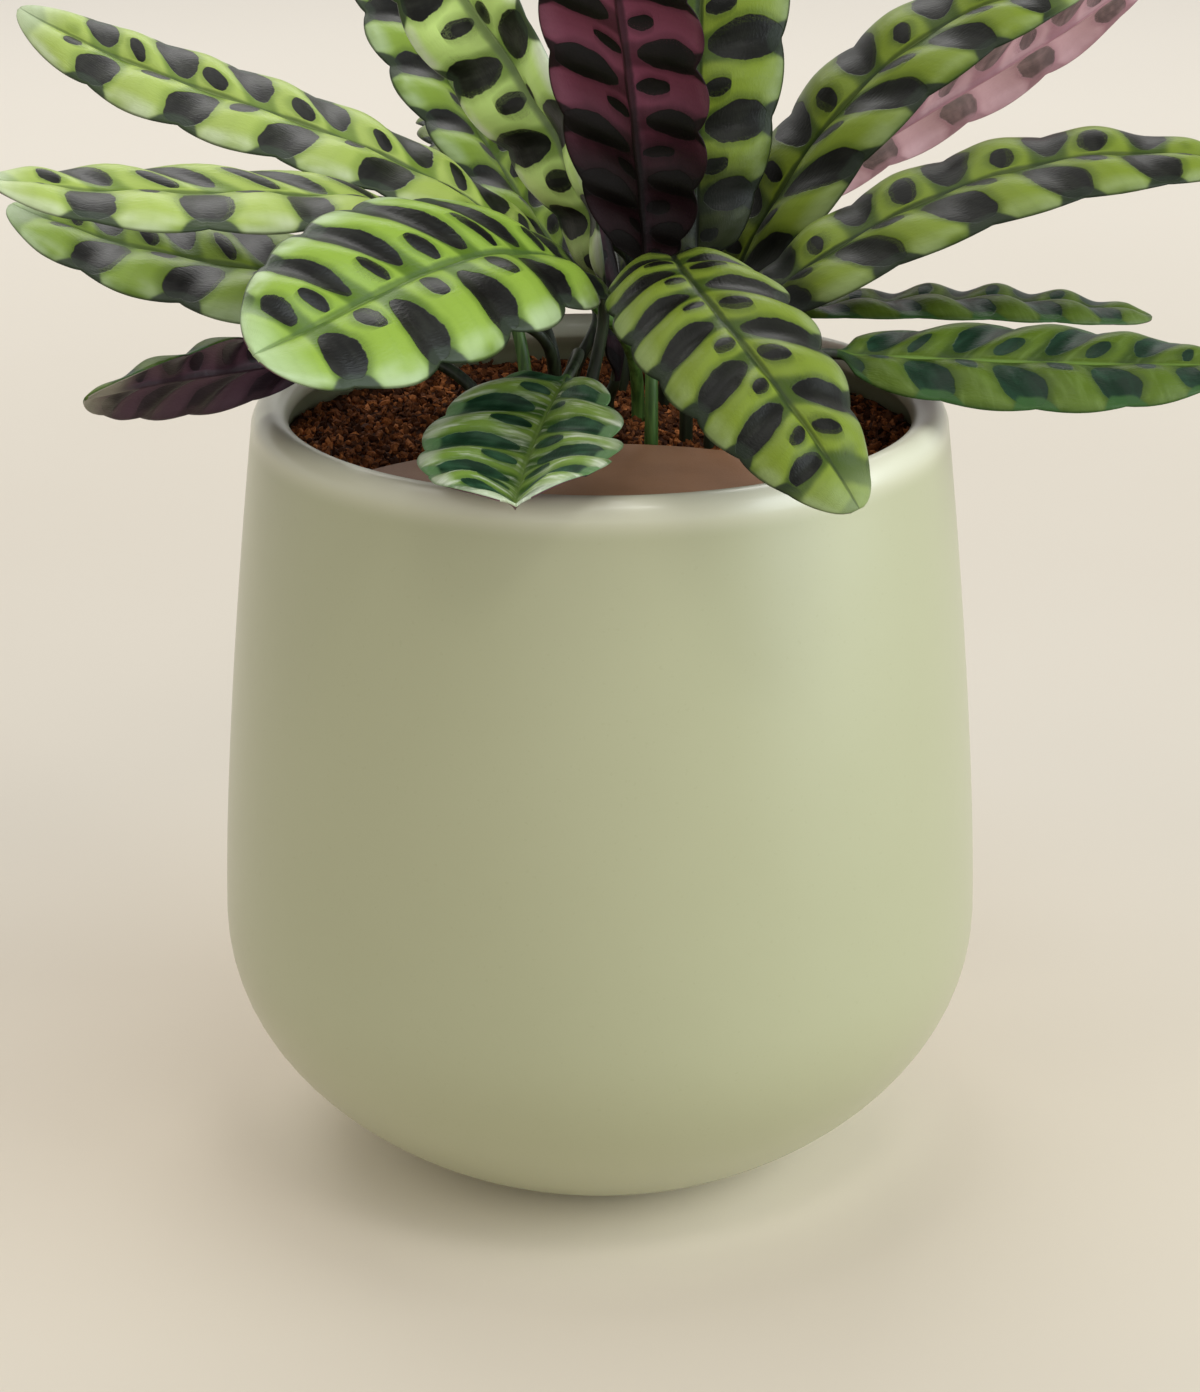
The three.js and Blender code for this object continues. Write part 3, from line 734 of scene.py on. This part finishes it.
def midrib(leaf, t):
    """Points on the midrib, found by adding up short steps along it."""
    steps = 400
    ends = np.linspace(0, 1, steps + 1)
    along, _, _ = leaf_frame(leaf, (ends[1:] + ends[:-1]) / 2)
    line = np.vstack([[0, 0, 0], np.cumsum(along, 0) * leaf["length"] / steps]) + leaf["joint"]
    return np.stack([np.interp(t, ends, line[:, axis]) for axis in range(3)], 1)


def blade_shape(leaf, t):
    """Width of the blade along it, from 0 to 1 at its widest place."""
    tip = leaf["tip"]
    widest = BASE_ROUND / (BASE_ROUND + tip)
    top = widest ** BASE_ROUND * (1 - widest) ** tip
    return t ** BASE_ROUND * (1 - t) ** tip / top


def wave_turn(leaf, t, u, half_width):
    """Count of waves passed, for arrays t (along) and u (across, -1 to 1)."""
    left, right = np.array(leaf["left"]), np.array(leaf["right"])
    waves, start, slant = np.where(u[..., None] > 0, left, right).transpose(2, 0, 1)
    crowded = t - BASE_CROWDING * np.exp(-t / BASE_CROWDING_REACH)
    return waves * (crowded - slant * np.abs(u) * half_width / leaf["length"]) + start


# %% [markdown]
# ## Leaves: relief
# The solid of the frame has the broad waves of the blade. The finer piece adds what a hand
# would feel: the pale fields between the dark markings swell up like quilting, the dark
# ones lie in the valleys, the midrib is a groove above and a rib below, and side veins
# stand up a hair. The margin turns down where a field reaches it and is notched where a
# valley does, and the waves lie a little closer together near the base.

# %% Relief of a blade
COLUMNS = 36
COLUMN_CROWDING = 0.6
QUILT = 2.0
GROOVE = 0.4
GROOVE_WIDTH = 0.9
RIB = 1.1
CURL = 3.2
CURL_POWER = 4
VEIN_HEIGHT = 0.008
NOTCH_LEFT = 0.17
NOTCH_RIGHT = 0.08
NOTCH_LEVEL = 0.62
VEINS_A_WAVE = 6
ROUNDED_EDGE = 0.03
RIB_HALF_WIDTH = 1.4


def around():
    """Places across (u, from -1 to 1 and back), the face (1 above, -1 below) and the turn."""
    q = np.linspace(-1, 1, COLUMNS + 1)
    u = q - COLUMN_CROWDING / (2 * np.pi) * np.sin(2 * np.pi * q)
    across = np.concatenate([u, u[::-1][1:]])
    face = np.concatenate([np.ones(COLUMNS + 1), -np.ones(COLUMNS)])
    turn = np.linspace(np.pi, -np.pi, len(across))
    return across, face, turn


def blade_height(t, u, half_width, turn):
    """Height of the blade's middle face over its plain folded shape, in millimetres."""
    out = np.abs(u)
    calm = np.clip(np.minimum(np.minimum(t, 1 - t) / WAVE_ENDS, half_width / FULL_WAVE_WIDTH), 0, 1)
    field = 0.5 + 0.5 * np.cos(2 * np.pi * turn)
    wave = WAVE_HEIGHT * out ** 2 * (2 * field - 1)
    quilt = QUILT * field ** 0.8 * np.sin(np.pi * out ** 0.8) * (out < 1)
    curl = -CURL * field * out ** CURL_POWER
    veins = VEIN_HEIGHT * np.cos(2 * np.pi * VEINS_A_WAVE * turn) * np.clip(out * 4, 0, 1)
    return calm * (wave + quilt + curl + veins) + ARCH * half_width * np.sin(np.pi * out)


def blade_points(leaf, t, u, face):
    """Points of the blade for every t and u, as rows of points."""
    grid_t, grid_u = np.broadcast_arrays(t[:, None], u[None, :])
    _, side, up = leaf_frame(leaf, t)
    plain = np.maximum(leaf["width"] / 2 * blade_shape(leaf, t), TIP_HALF_WIDTH)[:, None]
    margin_turn = wave_turn(leaf, grid_t, np.sign(grid_u), plain)
    lobe = np.abs(np.cos(np.pi * margin_turn)) ** 0.7 - NOTCH_LEVEL
    notch = np.where(grid_u > 0, NOTCH_LEFT, NOTCH_RIGHT) * np.clip(4 * (1 - grid_t), 0, 1)
    half_width = plain * (1 + notch * lobe * np.abs(grid_u) ** 1.5)
    turn = wave_turn(leaf, grid_t, grid_u, half_width)
    height = blade_height(grid_t, grid_u, half_width, turn)
    out_mm = np.abs(grid_u) * half_width
    rounded = np.sqrt(np.clip((1 - np.abs(grid_u)) / ROUNDED_EDGE, 0, 1))
    thickness = (BLADE_THICKNESS + (EDGE_THICKNESS - BLADE_THICKNESS) * np.abs(grid_u)) * rounded
    taper = (1 - grid_t) ** 0.7
    groove = GROOVE * np.exp(-(out_mm / GROOVE_WIDTH) ** 2) * np.minimum(1, 3 * taper)
    rib = RIB * taper * np.sqrt(np.clip(1 - (out_mm / (RIB_HALF_WIDTH * taper + 0.01)) ** 2, 0, 1))
    height = height - groove + face * thickness / 2 - np.where(face < 0, rib, 0)
    fold = math.radians(leaf["fold"])
    sideways = (grid_u * half_width * math.cos(fold))[..., None]
    upwards = (out_mm * math.sin(fold) + height)[..., None]
    return midrib(leaf, t)[:, None, :] + side[:, None, :] * sideways + up[:, None, :] * upwards


# %% [markdown]
# ## Leaves: the stalk
# The stalk leaves the soil upright and meets the blade in line with its midrib. A curve
# object with a bevel would do, but the stalk has to run on into the blade without a seam.
# So the rings are worked out here: four knots give a Bezier line, and each ring is turned
# on from the last by the bend between them, which keeps the tube from twisting.

# %% Rings of a stalk
STALK_STATIONS = 18


def stalk_points(leaf, turn_angles):
    """Rings of points of the stalk, from its foot in the soil to the joint."""
    along, side, up = (v[0] for v in leaf_frame(leaf, np.zeros(1)))
    root = np.array([*leaf["root"], SOIL_TOP + 1.0])
    joint = np.array(leaf["joint"], float)
    reach = np.linalg.norm(joint - root)
    knots = np.array([root, root + (0, 0, STALK_UPRIGHT * reach),
                      joint - along * STALK_LEAD * reach, joint])
    rings = []
    heading = Vector(along)
    side, up = Vector(side), Vector(up)
    for i in range(STALK_STATIONS):
        s = 1 - i / (STALK_STATIONS - 1)
        weights = np.array([(1 - s) ** 3, 3 * s * (1 - s) ** 2, 3 * s * s * (1 - s), s ** 3])
        slopes = np.array([-(1 - s) ** 2, (1 - s) * (1 - 3 * s), s * (2 - 3 * s), s * s])
        direction = Vector(slopes @ knots).normalized()
        turn = heading.rotation_difference(direction)
        heading = direction
        side.rotate(turn)
        up.rotate(turn)
        radius = STALK_RADIUS + (STALK_TOP_RADIUS - STALK_RADIUS) * s
        rings.append(weights @ knots
                     + radius * (np.cos(turn_angles)[:, None] * side + np.sin(turn_angles)[:, None] * up))
    foot = rings[-1] - (0, 0, STALK_DEPTH + 1.0)
    return np.array([foot, *rings[::-1]])


# %% [markdown]
# ## Leaves: from grid to leaf
# The grid comes from one operator. Its points are then moved, its seam is closed with
# Remove Doubles, and its two open ends are filled. Two UV maps go with it: `marks` holds
# the count of waves and the place across, and `place` the place along and a number that
# differs from leaf to leaf, so that no two leaves have quite the same markings.

# %% Points of a leaf
BLADE_STATIONS = 150
JOIN_LENGTH = 0.05
JOIN_STATIONS = 14
LAST_STATION = 0.9985


def leaf_points(leaf, across, face, angles):
    """Points of stalk and blade in metres, the places t of the blade's rows, and the stalk's rows."""
    stalk = stalk_points(leaf, angles)
    t = np.concatenate([np.linspace(0, JOIN_LENGTH, JOIN_STATIONS)[1:],
                        np.linspace(JOIN_LENGTH, 1, BLADE_STATIONS)[1:]])
    t[-1] = LAST_STATION
    blade = blade_points(leaf, t, across, face[None, :])
    _, side, up = leaf_frame(leaf, t)
    ring = midrib(leaf, t)[:, None, :] + STALK_TOP_RADIUS * (
        np.cos(angles)[None, :, None] * side[:, None, :] + np.sin(angles)[None, :, None] * up[:, None, :])
    share = np.clip(t / JOIN_LENGTH, 0, 1)
    share = (share * share * (3 - 2 * share))[:, None, None]
    blade = ring * (1 - share) + blade * share
    return np.concatenate([stalk, blade]) * MM, t, len(stalk)


def moved_grid(name, points):
    """A grid with its corners moved to the points, and the row and column of each corner."""
    rows, columns = points.shape[:2]
    bm = bmesh.new()
    bmesh.ops.create_grid(bm, x_segments=columns - 1, y_segments=rows - 1, size=1)
    mesh = bpy.data.meshes.new(name)
    bm.to_mesh(mesh)
    bm.free()
    flat = np.empty(len(mesh.vertices) * 3)
    mesh.vertices.foreach_get("co", flat)
    flat = flat.reshape(-1, 3)
    column = np.rint((flat[:, 0] + 1) / 2 * (columns - 1)).astype(int)
    row = np.rint((flat[:, 1] + 1) / 2 * (rows - 1)).astype(int)
    mesh.vertices.foreach_set("co", points[row, column].ravel())
    return mesh, row, column


# %% Maps of a leaf
UPPER, UNDER, STALK = 0, 1, 2
NO_WIDTH = 1e-9


def write_maps(mesh, leaf, number, across, t, stalk_rows, row, column):
    """Writes both UV maps, and which of the leaf's three finishes each face takes."""
    loop_vertex = np.empty(len(mesh.loops), int)
    mesh.loops.foreach_get("vertex_index", loop_vertex)
    loop_row, loop_column = row[loop_vertex], column[loop_vertex]
    quad_column = loop_column.reshape(-1, 4).min(1)
    quad_row = loop_row.reshape(-1, 4).min(1)
    quad_middle = (across[quad_column] + across[quad_column + 1]) / 2
    loop_side = np.repeat(np.sign(quad_middle), 4)
    loop_u = across[loop_column]
    loop_t = t[np.clip(loop_row - stalk_rows, 0, len(t) - 1)]
    plain = np.maximum(leaf["width"] / 2 * blade_shape(leaf, loop_t), TIP_HALF_WIDTH)
    shown_side = np.where(loop_u == 0, loop_side * NO_WIDTH, loop_u)
    loop_turn = wave_turn(leaf, loop_t[:, None], shown_side[:, None], plain[:, None])[:, 0]
    marks = mesh.uv_layers.new(name="marks")
    marks.data.foreach_set("uv", np.stack([loop_turn, loop_u], 1).ravel())
    placed = mesh.uv_layers.new(name="place")
    leaf_number = np.full(len(loop_t), number / len(LEAVES))
    placed.data.foreach_set("uv", np.stack([loop_t, leaf_number], 1).ravel())
    finish = np.where(quad_row < stalk_rows - 1, STALK, np.where(quad_column < COLUMNS, UPPER, UNDER))
    mesh.polygons.foreach_set("material_index", finish.astype(np.int32))


# %% Make the leaves
MERGE_DISTANCE = 1e-7


def leaf_piece(name, leaf, number):
    """One leaf as an object with its UV maps, and the count of its open edges."""
    across, face, angles = around()
    points, t, stalk_rows = leaf_points(leaf, across, face, angles)
    mesh, row, column = moved_grid(name, points)
    write_maps(mesh, leaf, number, across, t, stalk_rows, row, column)
    bm = bmesh.new()
    bm.from_mesh(mesh)
    bmesh.ops.remove_doubles(bm, verts=bm.verts, dist=MERGE_DISTANCE)
    bmesh.ops.holes_fill(bm, edges=[e for e in bm.edges if e.is_boundary], sides=0)
    bmesh.ops.triangulate(bm, faces=[f for f in bm.faces if len(f.verts) > 4])
    bmesh.ops.recalc_face_normals(bm, faces=bm.faces)
    open_edges = sum(1 for e in bm.edges if not e.is_manifold)
    piece = finished_object(name, bm)
    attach(piece, "root")
    return piece, open_edges


leaf_pieces = {}
for number, (name, leaf) in enumerate(LEAVES.items()):
    piece, open_edges = leaf_piece(f"{name}_leaf", leaf, number)
    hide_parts(f"leaf_{name}")
    leaf_pieces[name] = piece
    print(piece.name, "faces", len(piece.data.polygons), "open edges", open_edges)

# %% [markdown]
# ## Markings
# The blade is yellow-green, and along each half large dark almonds alternate with small
# dark ovals near the midrib. The large ones lie in the valleys and run out into a dark
# margin. All of it follows the wave count: at a whole number a pale field is highest and
# holds an oval, and half way between lies an almond. Chance moves and resizes each mark.
# Each draw has a salt of its own, or they would all rise together.


# %% Marks of a blade
SHIFT_SALT, START_SALT, END_SALT, HEIGHT_SALT = 0.5, 3.5, 5.5, 6.5
OVAL_SHIFT_SALT, OVAL_END_SALT, OVAL_HEIGHT_SALT = 7.5, 9.5, 11.5
ALMOND_SHIFT = 0.08
OVAL_SHIFT = 0.12
OVAL_START = 0.06
MARK_WOBBLE = 0.08
MARK_FRAY = 0.02


def between(number, salt, low, high):
    """One random number from low to high for each different value of a number."""
    return chance(number, salt) * (high - low) + low


def almond(across, half_way, start, end, height, pointed):
    """How deep a point lies in a mark that is pointed at the midrib, in waves.

    Past the mark's two ends the depth falls away, or its middle line would show there.
    """
    share = ((across - start) / (end - start)).clamped()
    rest = share * -1 + 1.0
    outline = (share ** pointed) * (rest ** 0.5)
    beyond = (share * rest * -1 + 0.02).larger(0.0) * 8.0
    return outline * height - half_way.size() - beyond


def mark_depth(wave, across, half, salt, mark_height):
    """How deep a point lies in the nearest mark, large or small."""
    cell = wave.floor() + salt
    to_almond = wave.fract() - 0.5 + (chance(cell, SHIFT_SALT) - 0.5) * ALMOND_SHIFT
    start = between(cell, START_SALT, 0.07, 0.15)
    end = between(cell, END_SALT, 0.88, 1.0)
    height = between(cell, HEIGHT_SALT, mark_height, mark_height + 0.1) - half * 0.05
    small_cell = (wave + 0.5).floor() + salt
    to_oval = (wave + 0.5).fract() - 0.5 + (chance(small_cell, OVAL_SHIFT_SALT) - 0.5) * OVAL_SHIFT
    oval_end = between(small_cell, OVAL_END_SALT, 0.34, 0.5)
    oval_height = between(small_cell, OVAL_HEIGHT_SALT, 0.18, 0.3)
    big = almond(across, to_almond, start, end, height, 0.62)
    return big.larger(almond(across, to_oval, OVAL_START, oval_end, oval_height, 0.5))


# %% [markdown]
# ## Tones of a blade
# The colours could be painted on an image, but twenty leaves would need twenty of them.
# One function of nodes serves all: the field, with painted sheen near the margin and the tip,
# painted shade in the valleys and towards the margin, and deeper round each mark, then the
# marks with a painted sheen of their own, the margin, the midrib, and the dark base, which is
# painted shade. The tip stays free of marks.


# %% Finish of a blade
HALF_SALT = 57.0
LEAF_SALT = 1330.0
MARK_SOFTNESS = 0.008
HALO_WIDTH = 0.12
BARE_TIP = (0.95, 0.89)
TIP_CUT = 0.5
SKIN_RELIEF = 0.00025


def blade_finish(name, field, deep_field, pale, mark, mark_painted_sheen, rib, margin, base_shade,
                 mark_height=0.50, sheen_share=0.7, rib_width=0.048, base_shade_reach=0.15, streaks=0.0,
                 tip=None, rough=0.36, specular=0.25):
    """A finish for one face of a blade, from its tones as a screen shows them."""
    field, deep_field, pale, mark, mark_painted_sheen, rib, margin, base_shade = (
        srgb(*tone) for tone in (field, deep_field, pale, mark, mark_painted_sheen, rib, margin, base_shade))
    material, tree, shader = new_finish(name, roughness=rough, specular=specular)
    marks_map = tree.nodes.new("ShaderNodeUVMap")
    marks_map.uv_map = "marks"
    place_map = tree.nodes.new("ShaderNodeUVMap")
    place_map.uv_map = "place"
    turn, u, _ = split(tree, marks_map.outputs["UV"])
    t, leaf_number, _ = split(tree, place_map.outputs["UV"])
    across = u.size()
    half = (u * 1000.0).clamped()
    salt = half * HALF_SALT + leaf_number * LEAF_SALT
    spot = point(tree, turn, u * 2.0, salt)
    wobble = noise(spot, 2.2, detail=1.0) - 0.5
    fine = noise(spot, 9.0, detail=3.0) - 0.5

    wave = turn + wobble * MARK_WOBBLE + fine * MARK_FRAY
    near_tip = t.ramp(*BARE_TIP)
    depth = mark_depth(wave, across, half, salt, mark_height) + fine * 0.015
    depth = depth - (near_tip * -1 + 1.0) * TIP_CUT
    marked = depth.ramp(-MARK_SOFTNESS, MARK_SOFTNESS)

    crest = turn.wave() * 0.5 + 0.5
    vein = (turn + wobble * 0.1).wave(turns=VEINS_A_WAVE) * 0.5 + 0.5
    streak = noise(point(tree, turn * 5.0, u * 1.2, salt), 2.0, detail=3.0)
    cloud = noise(spot, 1.6, detail=2.0)
    # Partly painted shade: the field is deeper in the valleys of the quilting and towards the margin, and
    # varies at random with the cloud.
    lobe = crest.ramp(0.05, 0.65) * across.ramp(1.1, 0.8) * 0.8 + cloud * 0.4
    tone = blend(lobe.ramp(0.2, 0.9), deep_field, field)
    tone = blend(streak.ramp(0.46, 0.74) * streaks, tone, pale)
    # Painted sheen: a pale tone near the margin on the crests, and near the tip.
    margin_painted_sheen = across.ramp(0.72, 0.93) * crest.ramp(0.15, 0.7) * cloud.ramp(0.3, 0.6)
    tone = blend(margin_painted_sheen * sheen_share, tone, pale)
    tone = blend(t.ramp(0.9, 1.0) * sheen_share, tone, pale)
    tone = blend((vein ** 4.0) * 0.05, tone, deep_field)
    halo = depth.ramp(-HALO_WIDTH, -MARK_SOFTNESS) * (marked * -1 + 1.0) * near_tip
    tone = blend(halo * 0.55, tone, deep_field)
    # Painted sheen: the dark marks are mottled with a lighter grey gloss.
    mark_tone = blend((cloud * 0.5 + streak * 0.5).ramp(0.38, 0.72), mark, mark_painted_sheen)
    tone = blend(marked, tone, mark_tone)
    valley = (crest * -1 + 1.0).ramp(0.35, 0.95)
    edge = (across + valley * 0.20 + wobble * 0.06 + fine * 0.04).ramp(0.975, 1.05)
    tone = blend(edge * near_tip * 0.9, tone, margin)
    tone = blend(across.ramp(0.975, 0.995) * 0.5, tone, margin)
    rib_share = (across + fine * 0.02).ramp(rib_width * 1.35, rib_width * 0.6)
    tone = blend(rib_share * (t * -0.5 + 1.0), tone, rib)
    if tip:
        tone = blend((t + cloud * 0.1).ramp(0.84, 1.0), tone, srgb(*tip))
    # Painted shade: the blade darkens towards its base, deep in the clump.
    tone = blend((t + cloud * 0.08).ramp(base_shade_reach + 0.08, base_shade_reach * 0.6) * 0.92, tone, base_shade)
    feed(tree, shader.inputs["Base Color"], tone)
    feed(tree, shader.inputs["Roughness"], streak * 0.14 + (rough - 0.07))
    lift = vein * 0.05 + noise(spot, 16.0, detail=3.0) * 0.4 + marked * -0.3
    raise_surface(tree, shader, lift, SKIN_RELIEF)
    return material


# %% [markdown]
# ## Palettes
# Most upper faces stand in the shade of the clump, and their deep yellow-green is painted
# shade. Those on the left catch the light, and their paler palette is painted light; one in
# the middle has a pale rib and a field painted brighter still, the young one in front is
# streaked, and three low ones are bottle-green, painted shade too. Under faces are
# wine-red, but one is bleached pink and one dusky.

# %% Palettes
# Painted shade at the foot of the blades.
PAINTED_BASE_SHADE = (26, 29, 26)
# Painted light: the lit copy of the upper face, for the leaves on the left.
LIT_FINISH = blade_finish(
    "leaf_upper_lit", field=(160, 180, 88), deep_field=(104, 128, 46), pale=(200, 212, 178),
    mark=(14, 15, 12), mark_painted_sheen=(40, 42, 35), rib=(60, 80, 40), margin=(42, 54, 40),
    base_shade=PAINTED_BASE_SHADE)
UPPER_FINISH = blade_finish(
    "leaf_upper", field=(134, 162, 60), deep_field=(80, 106, 30), pale=(180, 200, 158),
    mark=(12, 13, 10), mark_painted_sheen=(34, 36, 30), rib=(70, 94, 42), margin=(38, 48, 36),
    base_shade=PAINTED_BASE_SHADE)
# Painted shade: the shaded copy of the upper face.
DEEP_SHADE_FINISH = blade_finish(
    "leaf_upper_deep_shade", field=(113, 131, 42), deep_field=(59, 77, 22), pale=(141, 156, 110),
    mark=(11, 12, 8), mark_painted_sheen=(26, 28, 21), rib=(36, 50, 24), margin=(30, 38, 28),
    base_shade=PAINTED_BASE_SHADE, sheen_share=0.55, base_shade_reach=0.19, specular=0.16)
# Partly painted light: a pale rib, and a field painted brighter.
PALE_RIB_LIT_FINISH = blade_finish(
    "leaf_pale_rib_lit", field=(214, 242, 146), deep_field=(142, 170, 84), pale=(232, 240, 214),
    mark=(14, 15, 12), mark_painted_sheen=(50, 52, 46), rib=(118, 134, 98), margin=(42, 54, 40),
    base_shade=PAINTED_BASE_SHADE, sheen_share=0.95, rib_width=0.09, base_shade_reach=0.26)
YOUNG_FINISH = blade_finish(
    "leaf_young", field=(124, 154, 66), deep_field=(66, 100, 34), pale=(214, 224, 202),
    mark=(20, 50, 30), mark_painted_sheen=(60, 98, 70), rib=(110, 138, 66), margin=(96, 134, 84),
    base_shade=(48, 82, 34), sheen_share=0.6, rib_width=0.03, base_shade_reach=0.04, streaks=0.85)
SHADED_FINISH = blade_finish(
    "leaf_shaded", field=(78, 99, 24), deep_field=(48, 68, 15), pale=(128, 150, 88),
    mark=(12, 38, 22), mark_painted_sheen=(27, 60, 40), rib=(104, 132, 56), margin=(50, 84, 40),
    base_shade=(40, 66, 24), sheen_share=0.15, rib_width=0.03, base_shade_reach=0.05, streaks=0.2,
    specular=0.18)
UNDER_FINISH = blade_finish(
    "leaf_under", field=(122, 62, 84), deep_field=(82, 38, 54), pale=(136, 90, 106),
    mark=(13, 9, 10), mark_painted_sheen=(24, 17, 19), rib=(24, 10, 14), margin=(20, 12, 15),
    base_shade=(14, 9, 10), sheen_share=0.3, rib_width=0.06, base_shade_reach=0.36, rough=0.52, specular=0.2)
PINK_FINISH = blade_finish(
    "leaf_under_pink", field=(174, 137, 141), deep_field=(146, 105, 113), pale=(210, 176, 184),
    mark=(82, 64, 64), mark_painted_sheen=(124, 98, 98), rib=(140, 96, 106), margin=(140, 104, 110),
    base_shade=(120, 84, 92), sheen_share=0.4, rib_width=0.03)
DUSK_FINISH = blade_finish(
    "leaf_under_dusk", field=(82, 58, 70), deep_field=(56, 38, 48), pale=(92, 70, 80),
    mark=(36, 26, 33), mark_painted_sheen=(50, 38, 46), rib=(44, 30, 38), margin=(60, 44, 52),
    base_shade=(34, 24, 30), sheen_share=0.2, tip=(140, 134, 120))
UPPER_FINISHES = {
    "left_high": LIT_FINISH, "left_mid": LIT_FINISH, "left_low": UPPER_FINISH,
    "front_left": UPPER_FINISH, "behind_left": UPPER_FINISH, "front_small": YOUNG_FINISH,
    "right_lower": SHADED_FINISH, "right_thin": SHADED_FINISH, "purple_low": SHADED_FINISH,
    "centre_left": PALE_RIB_LIT_FINISH,
}
UNDER_FINISHES = {"pink_back": PINK_FINISH, "purple_low": DUSK_FINISH}
print("leaves whose upper face has a palette of its own:", len(UPPER_FINISHES))

# %% [markdown]
# ## Stalks
# The stalks are round, with faint lengthwise streaks. The outer ones are mid-green. Those
# that stand in the shade of the clump are painted almost black-green, painted shade, as the
# blade bases are.

# %% Stalk finish
def stalk_finish(name, dark, light):
    """A finish for stalks, with streaks from a dark to a light tone."""
    material, tree, shader = new_finish(name, roughness=0.42, specular=0.45)
    x, y, z = split(tree, object_place(tree).socket)
    streak = noise(point(tree, x * 12.0, y * 12.0, z), 60.0, detail=2.0)
    feed(tree, shader.inputs["Base Color"], blend(streak.ramp(0.35, 0.7), dark, light))
    raise_surface(tree, shader, streak, 0.00012)
    return material


GREEN_STALK = stalk_finish("leaf_stalk", srgb(56, 90, 36), srgb(98, 138, 64))
# Painted shade: the copy for stalks deep in the clump.
SHADED_STALK = stalk_finish("leaf_stalk_shaded", srgb(24, 32, 20), srgb(44, 56, 34))
GREEN_STALKS = ("left_high", "left_mid", "centre_purple")

for name, piece in leaf_pieces.items():
    piece.data.materials.append(UPPER_FINISHES.get(name, DEEP_SHADE_FINISH))
    piece.data.materials.append(UNDER_FINISHES.get(name, UNDER_FINISH))
    piece.data.materials.append(GREEN_STALK if name in GREEN_STALKS else SHADED_STALK)
print("finishes in all:", len(bpy.data.materials))

# %% [markdown]
# ## Triangles
# The triangles of the shown pieces, all but the floor, are counted and the total printed.

# %% Triangles
shown = [o for o in bpy.data.objects if o.type == "MESH" and not o.hide_render and o is not studio_floor]
total = 0
for piece in shown:
    triangles = sum(len(p.vertices) - 2 for p in piece.data.polygons)
    total += triangles
print("pieces:", len(shown), "triangles:", total)
